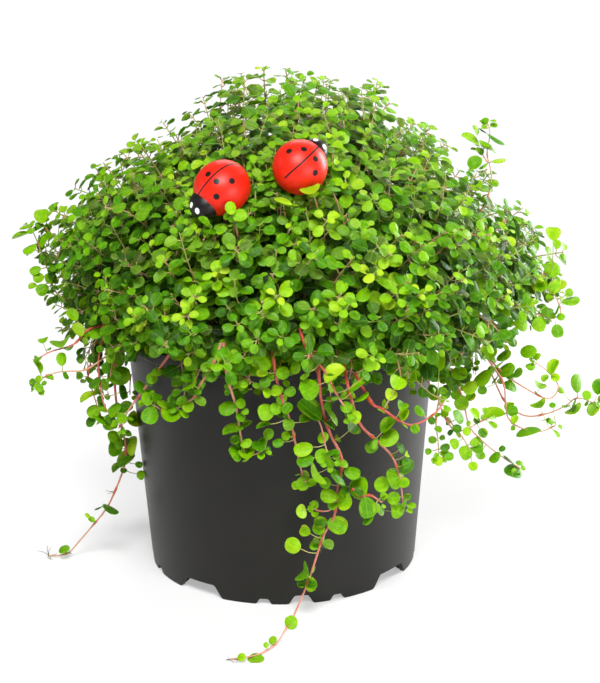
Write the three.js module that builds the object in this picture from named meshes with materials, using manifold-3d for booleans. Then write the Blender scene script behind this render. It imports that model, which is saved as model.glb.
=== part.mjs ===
import * as THREE from 'three';
import { mergeVertices } from 'three/addons/utils/BufferGeometryUtils.js';
import Module from 'manifold-3d';

const wasm = await Module();
wasm.setup();

// Driving dimensions in millimetres. The pot stands on z = 0, its axis is the z axis, and the front is -y.
const potHeight = 106;
const baseRadius = 57.5;
const wallFlare = 0.0767; // growth of the outer radius for each millimetre of height
const wallThickness = 1.6;
const lipHeight = 6;
const lipOverhang = 2.2;
const floorUnderside = 7.5;
const floorThickness = 1.8;
const footWall = 2;
const footTurn = 7; // degrees that the foot's pattern is turned to the right of the front
const footNotches = [
  { turn: 0, width: 7, height: 3.4 },
  { turn: -16, width: 2.4, height: 1.9 },
  { turn: 16, width: 2.4, height: 1.9 },
  { turn: 45, width: 18, height: 5.4 },
];
const drainHoles = [
  { turn: 0, distance: 30, radius: 3.5 },
  { turn: 45, distance: 47, radius: 4.5 },
];
const middleHole = 4;
const soilTop = 92;
const clearance = 0.4; // gap between touching pieces
const crownCentreZ = 100;
const crownTopZ = 208;
const upperTufts = 6;
const lowerTufts = 10;
const topTuftElevation = 62; // degrees above the crown's centre where the top tuft begins
const upperTuftElevation = 26;
const stemRadius = 0.9;
const leafThickness = 1.1;
const pairSpacing = 1.5; // leaf pairs are kept this many times farther apart than a shoot's step
const endBare = 10; // length at a shoot's root that bears no leaves
const ladybird = {
  halfLength: 10.9,
  halfWidth: 10.6,
  height: 9.8, // of the back above the widest plane
  under: 4.5, // of the flat underside below it
  headReach: 4.2,
  headHalfWidth: 5.6,
  headHeight: 5.4,
  headUnder: 3,
  headOverlap: 2.5,
};
const pickRadius = 1.1;

const outerRadius = (z) => baseRadius + wallFlare * z;

// Closed geometry to solid and back.
function solidOf(geometry) {
  const bare = geometry.clone();
  bare.deleteAttribute('normal');
  bare.deleteAttribute('uv');
  const merged = mergeVertices(bare, 1e-3);
  const kept = [];
  const index = merged.index.array;
  for (let i = 0; i < index.length; i += 3) {
    const [a, b, c] = index.slice(i, i + 3);
    if (a !== b && b !== c && c !== a) kept.push(a, b, c);
  }
  return new wasm.Manifold(
    new wasm.Mesh({
      numProp: 3,
      vertProperties: new Float32Array(merged.attributes.position.array),
      triVerts: new Uint32Array(kept),
    }),
  );
}

function geometryOf(solid) {
  const mesh = solid.getMesh();
  const geometry = new THREE.BufferGeometry();
  geometry.setAttribute('position', new THREE.BufferAttribute(mesh.vertProperties, 3));
  geometry.setIndex(new THREE.BufferAttribute(mesh.triVerts, 1));
  const flat = geometry.toNonIndexed();
  flat.computeVertexNormals();
  return flat;
}

function largestBody(solid) {
  return solid.decompose().reduce((best, body) => (body.volume() > best.volume() ? body : best));
}

function unite(solids) {
  return solids.reduce((sum, solid) => sum.add(solid));
}

// A solid of revolution about the z axis from [radius, z] pairs.
function revolved(profile, segments) {
  const points = profile.map(([radius, z]) => new THREE.Vector2(radius, z));
  return new THREE.LatheGeometry(points, segments).rotateX(Math.PI / 2);
}

const potted = new THREE.Group();

function addMesh(name, geometry, colour, roughness, parent = potted) {
  const material = new THREE.MeshStandardMaterial({ color: colour, roughness, metalness: 0 });
  const mesh = new THREE.Mesh(geometry, material);
  mesh.name = name;
  parent.add(mesh);
  return mesh;
}

const colours = {
  pot: '#44423f',
  soil: '#3b2a1e',
  leaf: '#6fa81c',
  innerLeaf: '#4f8a17',
  shoot: '#8fc62a',
  ladybirdRed: '#e2311d',
  ladybirdBlack: '#16120f',
  pick: '#c9a36b',
};

// The pot: a thin flared wall with a raised floor and a lip, on a foot ring whose edge is cut into feet.
const floorTop = floorUnderside + floorThickness;
const lipBottom = potHeight - lipHeight;
const potProfile = [
  [0, floorUnderside],
  [outerRadius(floorUnderside) - footWall, floorUnderside],
  [baseRadius - footWall, 0],
  [baseRadius, 0],
  [outerRadius(lipBottom), lipBottom],
  [outerRadius(lipBottom) + lipOverhang, lipBottom + 0.8],
  [outerRadius(potHeight) + lipOverhang, potHeight - 1],
  [outerRadius(potHeight) + lipOverhang - 1, potHeight],
  [outerRadius(potHeight) - wallThickness + 0.6, potHeight],
  [outerRadius(potHeight) - wallThickness, potHeight - 0.8],
  [outerRadius(floorTop + 3) - wallThickness, floorTop + 3],
  [outerRadius(floorTop) - wallThickness - 3, floorTop],
  [0, floorTop],
];

// One cut through the foot ring, seen from outside: a low arch of the given width and height.
function footNotch(turn, width, height) {
  const outline = new THREE.Shape();
  const corner = height * 0.6;
  outline.moveTo(-width / 2 - corner * 0.5, -1);
  outline.lineTo(width / 2 + corner * 0.5, -1);
  outline.lineTo(width / 2, height - corner);
  outline.quadraticCurveTo(width / 2 - corner * 0.2, height, width / 2 - corner, height);
  outline.lineTo(-width / 2 + corner, height);
  outline.quadraticCurveTo(-width / 2 + corner * 0.2, height, -width / 2, height - corner);
  const reach = 14;
  const options = { depth: reach, bevelEnabled: false, curveSegments: 2 };
  const cutter = new THREE.ExtrudeGeometry(outline, options);
  cutter.rotateX(Math.PI / 2);
  cutter.translate(0, 4 - baseRadius, 0);
  cutter.rotateZ(THREE.MathUtils.degToRad(turn));
  return solidOf(cutter);
}

function drainHole(turn, distance, radius) {
  const hole = new THREE.CylinderGeometry(radius, radius, floorThickness + 4, 8).rotateX(Math.PI / 2);
  hole.translate(0, -distance, floorUnderside + floorThickness / 2);
  hole.rotateZ(THREE.MathUtils.degToRad(turn));
  return solidOf(hole);
}

function makePot() {
  const cuts = [drainHole(0, 0, middleHole)];
  for (let quarter = 0; quarter < 4; quarter += 1) {
    const start = footTurn + 90 * quarter;
    for (const { turn, width, height } of footNotches) cuts.push(footNotch(start + turn, width, height));
    for (const { turn, distance, radius } of drainHoles) cuts.push(drainHole(start + turn, distance, radius));
  }
  return solidOf(revolved(potProfile, 48)).subtract(unite(cuts));
}
addMesh('pot', geometryOf(makePot()), colours.pot, 0.5);

// Painted wooden ladybirds on wooden picks: an egg with a flat underside and a domed head. Each one's back
// points along its own up and its head along head. Its pick leads from the middle down to the foot.
const ladybirdPlaces = [
  {
    name: 'ladybird_left',
    centre: [-21.8, -64.6, 177.2],
    up: [-0.289, -0.564, 0.773],
    head: [-0.602, -0.521, -0.606],
    foot: [-14, -14, 78],
  },
  {
    name: 'ladybird_right',
    centre: [8, -59.1, 183.8],
    up: [0.23, -0.81, 0.539],
    head: [0.633, 0.546, 0.549],
    foot: [2, 16, 78],
  },
];

function placement({ centre, up, head }) {
  const back = new THREE.Vector3(...up).normalize();
  const side = back.clone().cross(new THREE.Vector3(...head)).normalize();
  const ahead = side.clone().cross(back);
  return new THREE.Matrix4().makeBasis(ahead, side, back).setPosition(new THREE.Vector3(...centre));
}

// An egg of half sizes x, y and height with its lower end cut flat at -under.
function flatEgg(halfX, halfY, height, under, steps, segments) {
  const lowest = -Math.asin(under / height);
  const arc = [[0, -under]];
  for (let i = 0; i <= steps; i += 1) {
    const angle = lowest + (Math.PI / 2 - lowest) * (i / steps);
    arc.push([Math.cos(angle), Math.sin(angle) * height]);
  }
  return revolved(arc, segments).scale(halfX, halfY, 1);
}

function ladybirdBody(grow, steps, segments) {
  const { halfLength, halfWidth, height, under } = ladybird;
  return flatEgg(halfLength + grow, halfWidth + grow, height + grow, under + grow, steps, segments);
}

function ladybirdHead(grow, steps, segments) {
  const { halfLength, headReach, headHalfWidth, headHeight, headUnder, headOverlap } = ladybird;
  const reach = headReach + headOverlap + grow;
  const egg = flatEgg(reach, headHalfWidth + grow, headHeight + grow, headUnder + grow, steps, segments);
  return egg.translate(halfLength - headOverlap, 0, 0);
}

function pickRod({ centre, foot }, grow) {
  const alongY = new THREE.Vector3(0, 1, 0);
  const start = new THREE.Vector3(...centre);
  const way = new THREE.Vector3(...foot).sub(start);
  const rod = new THREE.CylinderGeometry(pickRadius + grow, pickRadius + grow, way.length() + grow, 8);
  rod.applyQuaternion(new THREE.Quaternion().setFromUnitVectors(alongY, way.clone().normalize()));
  return rod.translate(...start.addScaledVector(way, 0.5).toArray());
}

const ladybirdSpaces = [];
for (const place of ladybirdPlaces) {
  const matrix = placement(place);
  const placed = (shape) => solidOf(shape.applyMatrix4(matrix));
  const body = placed(ladybirdBody(0, 7, 20));
  const aroundBody = placed(ladybirdBody(clearance, 7, 20));
  const head = placed(ladybirdHead(0, 5, 14)).subtract(aroundBody);
  const pick = solidOf(pickRod(place, 0)).subtract(aroundBody);
  addMesh(place.name + '_body', geometryOf(body), colours.ladybirdRed, 0.3);
  addMesh(place.name + '_head', geometryOf(largestBody(head)), colours.ladybirdBlack, 0.3);
  addMesh(place.name + '_pick', geometryOf(largestBody(pick)), colours.pick, 0.7);
  const spare = 3 * clearance;
  ladybirdSpaces.push(placed(ladybirdBody(spare, 4, 10)), placed(ladybirdHead(spare, 3, 8)));
  ladybirdSpaces.push(solidOf(pickRod(place, clearance)));
}
const ladybirdSpace = unite(ladybirdSpaces);

// Potting soil with the root ball, filling the pot to a little below its lip.
function makeSoil() {
  const inside = (z) => outerRadius(z) - wallThickness - clearance;
  const bottom = floorTop + clearance;
  const profile = [
    [0, bottom],
    [inside(bottom) - 3.4, bottom],
    [inside(bottom + 3.4), bottom + 3.4],
    [inside(soilTop), soilTop],
    [inside(soilTop) * 0.6, soilTop + 1.6],
    [0, soilTop + 2.4],
  ];
  return solidOf(revolved(profile, 32)).subtract(ladybirdSpace);
}
addMesh('soil', geometryOf(largestBody(makeSoil())), colours.soil, 1);

// The crown: the dense dome of stems and leaves. It rises from the soil, passes inside the lip and
// spreads over it on all sides, a little farther to the right.
const lipRadius = outerRadius(potHeight) + lipOverhang;
const crownProfile = [
  [0, soilTop + 2.8],
  [outerRadius(soilTop) * 0.6, soilTop + 2.2],
  [outerRadius(soilTop) - wallThickness - 1.4, soilTop + 1],
  [outerRadius(potHeight) - wallThickness - 1.4, potHeight + clearance],
  [lipRadius + 2.5, potHeight + clearance],
  [lipRadius + 3.5, 100],
  [84, 95],
  [95, 99],
  [102, 108],
  [104, 121],
  [100, 137],
  [90, 154],
  [75, 171],
  [58, 186],
  [38, 199],
  [18, crownTopZ - 1],
  [0, crownTopZ],
];

// Over the front the crown's underside slopes up and away from the lip, at the other sides it droops.
function undersideAt(radius, z, turn) {
  const slope = potHeight + clearance + 0.32 * (radius - lipRadius);
  const front = THREE.MathUtils.smoothstep(-Math.sin(turn), 0.3, 0.85);
  return radius < lipRadius ? z : z + front * Math.max(slope - z, 0);
}

function crownGeometry(grow) {
  const geometry = revolved(crownProfile, 40);
  const place = geometry.attributes.position;
  for (let i = 0; i < place.count; i += 1) {
    const [x, y, z] = [place.getX(i), place.getY(i), place.getZ(i)];
    const radius = Math.hypot(x, y);
    const turn = Math.atan2(y, x);
    const outside = THREE.MathUtils.smoothstep(Math.hypot(radius, Math.max(z - crownCentreZ, 0)), 76, 92);
    const wider = 0.045 * Math.cos(turn) - 0.03 * Math.max(-Math.sin(turn), 0);
    const lumps = 0.02 * Math.cos(10 * turn) + 0.015 * Math.sin(6 * turn + z / 15) + wider;
    const swell = 1 + outside * lumps;
    const waves = z > 130 ? outside * 2.2 * Math.sin(4 * turn + radius / 14) : 0;
    place.setXYZ(i, x * swell, y * swell, undersideAt(radius, z, turn) + waves);
  }
  geometry.deleteAttribute('normal');
  geometry.deleteAttribute('uv');
  const merged = mergeVertices(geometry, 1e-3);
  merged.computeVertexNormals();
  const { position, normal } = merged.attributes;
  for (let i = 0; i < position.count; i += 1) {
    position.setXYZ(
      i,
      position.getX(i) + grow * normal.getX(i),
      position.getY(i) + grow * normal.getY(i),
      position.getZ(i) + grow * normal.getZ(i),
    );
  }
  return merged;
}

// Everything that lies higher above the crown's centre than the given angle.
function aboveElevation(degrees, lift) {
  const far = 260;
  const apex = crownCentreZ + lift;
  const rise = far * Math.tan(THREE.MathUtils.degToRad(degrees));
  return solidOf(revolved([[0, apex], [far, apex + rise], [0, apex + rise + 1]], 40));
}

// An upright slice like a piece of cake, with half a clearance taken off both of its faces.
function slice(number, count) {
  const half = Math.PI / count;
  const middle = -Math.PI / 2 + (2 * Math.PI * number) / count;
  const tip = clearance / 2 / Math.sin(half);
  const far = 300;
  const outline = new THREE.Shape();
  const corner = (turn) => [
    tip * Math.cos(middle) + far * Math.cos(middle + turn),
    tip * Math.sin(middle) + far * Math.sin(middle + turn),
  ];
  outline.moveTo(tip * Math.cos(middle), tip * Math.sin(middle));
  outline.lineTo(...corner(-half));
  outline.lineTo(...corner(half));
  const block = new THREE.ExtrudeGeometry(outline, { depth: 400, bevelEnabled: false });
  return solidOf(block.translate(0, 0, -50));
}

function addTufts() {
  const crown = solidOf(crownGeometry(0)).subtract(ladybirdSpace);
  const gapAt = (degrees) => clearance / 2 / Math.cos(THREE.MathUtils.degToRad(degrees));
  const top = aboveElevation(topTuftElevation, gapAt(topTuftElevation));
  const underTop = aboveElevation(topTuftElevation, -gapAt(topTuftElevation));
  const upper = aboveElevation(upperTuftElevation, gapAt(upperTuftElevation));
  const underUpper = aboveElevation(upperTuftElevation, -gapAt(upperTuftElevation));
  addMesh('tuft_top', geometryOf(largestBody(crown.intersect(top))), colours.leaf, 0.6);
  const upperRing = crown.intersect(upper).subtract(underTop);
  for (let k = 0; k < upperTufts; k += 1) {
    const tuft = largestBody(upperRing.intersect(slice(k, upperTufts)));
    addMesh('tuft_upper_' + (k + 1), geometryOf(tuft), colours.leaf, 0.6);
  }
  const lowerRing = crown.subtract(underUpper);
  for (let k = 0; k < lowerTufts; k += 1) {
    const tuft = largestBody(lowerRing.intersect(slice(k, lowerTufts)));
    addMesh('tuft_lower_' + (k + 1), geometryOf(tuft), colours.innerLeaf, 0.6);
  }
}
addTufts();

// Shoots that leave the crown and hang, reach out or lie on the surface. Each has its route, from the
// crown outwards, the size of its leaves and the distance between its leaf pairs.
const shoots = {
  shoot_front_runner: {
    leaf: 6.5,
    step: 17,
    route: [
      [12, -78, 122], [14, -86, 110], [15, -84, 98], [18, -80, 84], [23, -78, 72], [22, -77, 62],
      [21, -76, 55], [20, -75, 46], [16, -74, 38], [13, -73, 28], [10, -72, 18], [6, -73, 8],
      [3, -76, 2.4], [0, -84, 1.2], [-3, -94, 1], [-9, -103, 1], [-16, -107, 1], [-22, -108, 1],
    ],
  },
  shoot_left_runner: {
    leaf: 6.5,
    step: 15,
    route: [
      [-66, -17, 100], [-70, -14, 90], [-70, -13, 73], [-68, -12, 61], [-67, -11, 53],
      [-68, -11, 44], [-74, -10, 29], [-78, -9, 22], [-81, -8, 18], [-89, -6, 8], [-94, -6, 2.4],
      [-99, -6, 1], [-103, -6, 1],
    ],
  },
  shoot_left_high: {
    leaf: 6,
    step: 11,
    route: [
      [-62, -28, 112], [-70, -33, 114], [-78, -36, 113], [-84, -40, 108], [-93, -43, 106],
      [-99, -45, 103],
    ],
  },
  shoot_left_drop_inner: {
    leaf: 6,
    step: 13,
    route: [
      [-66, -27, 118], [-71, -30, 113], [-75, -32, 98], [-74, -34, 85], [-73, -34, 80],
      [-71, -33, 75],
    ],
  },
  shoot_left_drop_outer: {
    leaf: 6.5,
    step: 10,
    route: [
      [-70, -19, 113], [-76, -22, 105], [-80, -26, 90], [-79, -27, 86], [-77, -27, 78],
      [-75, -26, 70],
    ],
  },
  shoot_left_side: {
    leaf: 5.5,
    step: 9,
    route: [
      [-70, -38, 103], [-79, -42, 98], [-85, -44, 98], [-90, -45, 98], [-96, -46, 96],
      [-99, -46, 91],
    ],
  },
  shoot_left_pot: {
    leaf: 6,
    step: 10,
    route: [
      [-44, -62, 110], [-48, -60, 104], [-53, -54, 96], [-58, -48, 88], [-63, -44, 80],
      [-67, -41, 72],
    ],
  },
  shoot_front_left_curl: {
    leaf: 7,
    step: 9,
    route: [
      [-23, -80, 120], [-25, -84, 115], [-28, -81, 109], [-32, -78, 102], [-34, -76, 97],
      [-39, -73, 93], [-44, -70, 89], [-50, -65, 90], [-55, -60, 91],
    ],
  },
  shoot_front_left_drop: {
    leaf: 6,
    step: 9,
    route: [
      [-22, -82, 121], [-21, -86, 111], [-20, -83, 104], [-18, -81, 96], [-17, -79, 88],
      [-16, -78, 80], [-15, -78, 75], [-12, -79, 74], [-7, -81, 77],
    ],
  },
  shoot_front_middle: {
    leaf: 6,
    step: 9,
    route: [
      [-4, -84, 124], [-3, -89, 116], [-2, -87, 108], [0, -85, 99], [3, -82, 89], [5, -80, 79],
      [7, -78, 68], [9, -77, 60],
    ],
  },
  shoot_front_tuft: {
    leaf: 6.5,
    step: 8,
    route: [
      [7, -86, 127], [10, -94, 121], [16, -97, 114], [19, -95, 107], [22, -93, 101], [26, -91, 94],
    ],
  },
  shoot_front_right_drop: {
    leaf: 6.5,
    step: 9,
    route: [
      [24, -78, 110], [26, -87, 101], [30, -84, 88], [37, -79, 79], [43, -75, 71], [46, -73, 62],
      [47, -72, 55], [48, -71, 47],
    ],
  },
  shoot_front_right_branch: {
    leaf: 6.5,
    step: 7,
    route: [[27, -80, 60], [30, -81, 57], [34, -80, 57], [39, -78, 53]],
  },
  shoot_front_right_red: {
    leaf: 6.5,
    step: 9,
    route: [
      [28, -82, 108], [34, -91, 99], [38, -89, 96], [44, -84, 90], [49, -80, 86], [54, -77, 86],
      [60, -72, 88], [64, -69, 92],
    ],
  },
  shoot_right_thread: {
    leaf: 5.5,
    step: 8,
    route: [
      [62, -57, 90], [64, -61, 84], [68, -64, 78], [73, -64, 78], [78, -64, 81], [83, -64, 83],
    ],
  },
  shoot_right_low: {
    leaf: 7,
    step: 11,
    route: [
      [84, -38, 99], [90, -41, 90], [91, -43, 83], [92, -45, 76], [97, -46, 72], [105, -48, 71],
      [111, -49, 74],
    ],
  },
  shoot_right_loop: {
    leaf: 6,
    step: 13,
    route: [
      [84, -26, 98], [91, -28, 90], [97, -30, 86], [106, -32, 81], [111, -33, 80], [114, -33, 85],
      [110, -32, 91], [103, -31, 96],
    ],
  },
  shoot_right_far: {
    leaf: 7,
    step: 12,
    route: [
      [88, -18, 86], [94, -20, 74], [102, -23, 69], [111, -26, 71], [118, -28, 75], [122, -30, 79],
      [127, -31, 78], [132, -32, 76],
    ],
  },
  shoot_right_upper: {
    leaf: 7,
    step: 8,
    route: [
      [96, -18, 117], [104, -22, 114], [111, -25, 112], [115, -25, 114], [114, -25, 119],
      [111, -25, 124],
    ],
  },
  shoot_right_tail: {
    leaf: 6.5,
    step: 8,
    route: [
      [68, -33, 96], [74, -35, 82], [77, -36, 70], [81, -38, 65], [87, -40, 60], [93, -42, 56],
      [98, -43, 53],
    ],
  },
  shoot_upright: {
    leaf: 6,
    step: 9,
    route: [[84, 6, 148], [88, 6, 158], [89, 6, 166], [87, 6, 175], [88, 6, 183], [87, 6, 188]],
  },
  shoot_left_tip: {
    leaf: 6.5,
    step: 10,
    route: [
      [-90, -5, 116], [-95, -6, 122], [-97, -6, 130], [-99, -6, 136], [-101, -6, 143],
      [-104, -6, 150],
    ],
  },
  shoot_back_left: {
    leaf: 6.5,
    step: 10,
    route: [
      [-44, 74, 112], [-52, 80, 104], [-58, 80, 92], [-60, 76, 80], [-58, 72, 66], [-54, 72, 56],
    ],
  },
  shoot_back_middle: {
    leaf: 6.5,
    step: 10,
    route: [
      [-6, 88, 116], [-8, 95, 104], [-4, 93, 90], [2, 88, 76], [4, 84, 62], [2, 82, 50],
      [-3, 82, 42],
    ],
  },
  shoot_back_right: {
    leaf: 6.5,
    step: 10,
    route: [[40, 76, 112], [46, 82, 103], [52, 82, 90], [52, 78, 78], [56, 74, 68], [62, 74, 62]],
  },
  shoot_back_long: {
    leaf: 6.5,
    step: 12,
    route: [
      [20, 88, 110], [24, 93, 98], [26, 90, 82], [24, 85, 66], [22, 81, 50], [24, 78, 34],
      [27, 77, 18], [29, 79, 7], [32, 84, 2], [37, 91, 1], [43, 97, 1], [50, 101, 1],
    ],
  },
};

// A leaf blade as a thin lens that starts at the origin and points along x.
function leafBlade(size) {
  const blade = new THREE.SphereGeometry(0.5, 6, 2).rotateX(Math.PI / 2);
  blade.scale(size * 1.15, size, leafThickness);
  return blade.translate(size * 0.5 - 0.2, 0, 0);
}

function growShoot({ route, leaf, step }) {
  const points = route.map((point) => new THREE.Vector3(...point));
  const curve = new THREE.CatmullRomCurve3(points, false, 'centripetal');
  const sides = 5;
  const section = new THREE.Shape();
  for (let i = 0; i < sides; i += 1) {
    const angle = (2 * Math.PI * i) / sides;
    const corner = [stemRadius * Math.cos(angle), stemRadius * Math.sin(angle)];
    if (i === 0) section.moveTo(...corner);
    else section.lineTo(...corner);
  }
  const steps = Math.max(6, route.length);
  const tube = new THREE.ExtrudeGeometry(section, { steps, extrudePath: curve, bevelEnabled: false });
  const pieces = [solidOf(tube)];
  const length = curve.getLength();
  const pairs = Math.max(2, Math.floor((length - endBare) / (pairSpacing * step)));
  for (let pair = 0; pair < pairs; pair += 1) {
    const along = 1 - (pair * pairSpacing * step + 1.5) / length;
    const point = curve.getPointAt(along);
    const tangent = curve.getTangentAt(along);
    const outward = new THREE.Vector3(point.x, point.y, 0).normalize();
    const first = outward.clone().addScaledVector(tangent, -outward.dot(tangent)).normalize();
    const turned = first.clone().applyAxisAngle(tangent, pair % 2 ? 1.3 : 0.3);
    for (const sign of [1, -1]) {
      const aim = turned.clone().multiplyScalar(sign).addScaledVector(tangent, 0.5).normalize();
      aim.z = Math.max(aim.z, point.z < leaf ? 0.12 : -1);
      aim.normalize();
      const face = outward.clone().addScaledVector(new THREE.Vector3(0, 0, 1), 0.8);
      if (Math.abs(face.clone().normalize().dot(aim)) > 0.9) face.set(0, 0, 1);
      const side = face.clone().cross(aim).normalize();
      const normal = aim.clone().cross(side);
      const size = leaf * (pair === 0 ? 0.7 : 1);
      const matrix = new THREE.Matrix4().makeBasis(aim, side, normal).setPosition(point);
      pieces.push(solidOf(leafBlade(size).applyMatrix4(matrix)));
    }
  }
  return unite(pieces);
}

// What a shoot has to stay clear of: the crown, the pot and the ladybirds, and nothing under the surface.
function shootClearance() {
  const aroundPot = revolved(
    [
      [0, -1],
      [baseRadius + clearance, -1],
      [outerRadius(lipBottom) + clearance, lipBottom - clearance],
      [lipRadius + clearance, lipBottom - clearance],
      [lipRadius + clearance, potHeight + clearance],
      [0, potHeight + clearance],
    ],
    48,
  );
  const below = new THREE.BoxGeometry(600, 600, 40).translate(0, 0, -20);
  const crown = crownGeometry(3 * clearance);
  return unite([solidOf(crown), solidOf(aroundPot), solidOf(below), ladybirdSpace]);
}

const blocked = shootClearance();
for (const [name, shoot] of Object.entries(shoots)) {
  const grown = growShoot(shoot).subtract(blocked);
  addMesh(name, geometryOf(largestBody(grown)), colours.shoot, 0.6);
}

// The part's origin is the middle of its base box, on the surface that the pot stands on.
potted.updateMatrixWorld(true);
const box = new THREE.Box3().setFromObject(potted);
const centre = box.getCenter(new THREE.Vector3());
potted.position.set(-centre.x, -centre.y, -box.min.z);

const part = new THREE.Group();
part.add(potted);
export default part;
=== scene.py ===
# Potted baby tears: a dome of small round leaves on thin red stems, in a charcoal nursery pot, with two
# painted ladybird picks. Lengths are in millimetres in the pot's own frame (its axis is z, it stands on
# z = 0 and the front is -y) until place() turns them into metres in the frame of the model.
import math
import random
import time

import bpy
import numpy as np
from mathutils import Matrix, Quaternion, Vector, noise
from mathutils.bvhtree import BVHTree


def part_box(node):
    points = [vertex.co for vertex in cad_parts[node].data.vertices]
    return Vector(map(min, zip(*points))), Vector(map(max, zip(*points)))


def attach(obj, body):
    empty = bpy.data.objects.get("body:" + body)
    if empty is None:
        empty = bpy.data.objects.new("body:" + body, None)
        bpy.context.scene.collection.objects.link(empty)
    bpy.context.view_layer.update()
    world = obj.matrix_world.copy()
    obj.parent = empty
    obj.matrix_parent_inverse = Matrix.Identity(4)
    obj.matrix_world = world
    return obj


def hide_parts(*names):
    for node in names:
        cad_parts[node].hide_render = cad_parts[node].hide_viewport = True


started = time.time()
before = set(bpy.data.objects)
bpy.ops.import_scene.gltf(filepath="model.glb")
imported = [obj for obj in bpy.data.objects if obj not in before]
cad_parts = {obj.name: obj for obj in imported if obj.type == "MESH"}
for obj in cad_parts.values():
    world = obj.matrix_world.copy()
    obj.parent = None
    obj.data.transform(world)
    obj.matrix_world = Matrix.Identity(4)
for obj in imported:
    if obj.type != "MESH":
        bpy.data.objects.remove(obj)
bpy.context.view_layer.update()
scene = bpy.context.scene
print("stage: frame loaded,", len(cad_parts), "nodes")

potLow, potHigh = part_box("pot")
potAxis = Vector(((potLow[0] + potHigh[0]) / 2, (potLow[1] + potHigh[1]) / 2, 0))
metre = 1000.0
up = Vector((0, 0, 1))


def place(point):  # millimetres in the pot's frame to metres in the model's
    return potAxis + Vector(point) / metre


def potFrame(point):  # and back
    return (Vector(point) - potAxis) * metre


# The camera at the photograph's viewing angle. Pixels are those of the 600 x 683 photograph.
camera = dict(
    width=600, height=683, lens=65.9, sensor=24.0,
    eye=(0.0, -764.6, 331.0), pitch=17.1, yaw=0.6, roll=0.55,
)


def cameraAxes():
    pitch, yaw, roll = (math.radians(camera[key]) for key in ("pitch", "yaw", "roll"))
    ahead = Vector((math.sin(yaw) * math.cos(pitch), math.cos(yaw) * math.cos(pitch), -math.sin(pitch)))
    level = Vector((math.cos(yaw), -math.sin(yaw), 0))
    upright = level.cross(ahead)
    right = level * math.cos(roll) - upright * math.sin(roll)
    top = level * math.sin(roll) + upright * math.cos(roll)
    return right, top, ahead


eye = Vector(camera["eye"])
right, top, ahead = cameraAxes()
pixelsPerSlope = camera["lens"] / camera["sensor"] * camera["height"]


def makeCamera():
    data = bpy.data.cameras.new("photoCamera")
    data.sensor_fit = "VERTICAL"
    data.sensor_height = camera["sensor"]
    data.lens = camera["lens"]
    data.clip_start = 0.05
    data.clip_end = 20
    made = bpy.data.objects.new("photoCamera", data)
    scene.collection.objects.link(made)
    turn = Matrix((right, top, -ahead)).transposed()
    made.matrix_world = Matrix.Translation(place(eye)) @ turn.to_4x4()
    scene.camera = made


makeCamera()


def pixelOf(point):  # where a point of the pot's frame shows in the photograph
    away = Vector(point) - eye
    depth = away.dot(ahead)
    x = camera["width"] / 2 + pixelsPerSlope * away.dot(right) / depth
    return x, camera["height"] / 2 - pixelsPerSlope * away.dot(top) / depth


def behindPixel(x, y, depth):  # the point under a pixel at that distance along the line of sight
    slopeX = (x - camera["width"] / 2) / pixelsPerSlope
    slopeY = (camera["height"] / 2 - y) / pixelsPerSlope
    return eye + (ahead + right * slopeX + top * slopeY) * depth


# Materials
def fromHex(code):
    parts = [int(code[i:i + 2], 16) / 255 for i in (1, 3, 5)]
    return tuple(c / 12.92 if c <= 0.04045 else ((c + 0.055) / 1.055) ** 2.4 for c in parts) + (1.0,)


def newMaterial(name):
    material = bpy.data.materials.new(name)
    material.use_nodes = True
    material.node_tree.nodes.clear()
    return material, material.node_tree


def addNode(tree, kind, inputs=(), stops=(), **settings):
    node = tree.nodes.new("ShaderNode" + kind)
    for key, value in settings.items():
        setattr(node, key, value)
    for key, value in dict(inputs).items():
        if isinstance(value, bpy.types.Node):
            value = next(socket for socket in value.outputs if socket.enabled)
        if isinstance(value, bpy.types.NodeSocket):
            tree.links.new(value, node.inputs[key])
        else:
            node.inputs[key].default_value = value
    for i, (at, code) in enumerate(stops):  # a colour ramp's
        elements = node.color_ramp.elements
        element = elements[i] if i < len(elements) else elements.new(at)
        element.position = at
        element.color = fromHex(code)
    return node


# Leaf tissue: living leaf with a waxy upper skin. To the eye that is a fresh green with a soft gloss, a
# little light through the blade, paler veins, a darker margin, and a darker green on old and shaded leaves.
leafLook = dict(
    green=[(0.0, "#0a1e00"), (0.3, "#204b00"), (0.55, "#458000"), (0.8, "#78aa03"), (1.0, "#a4c022")],
    vein="#9cc828", margin="#4d8a12", tan="#b5a45a", under="#8fbf2c",
    roughness=0.46, sideVeins=5.0,
    mottle=1.6, relief=0.15, pucker=1.1, puckerRelief=0.22,  # in mm
)


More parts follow.
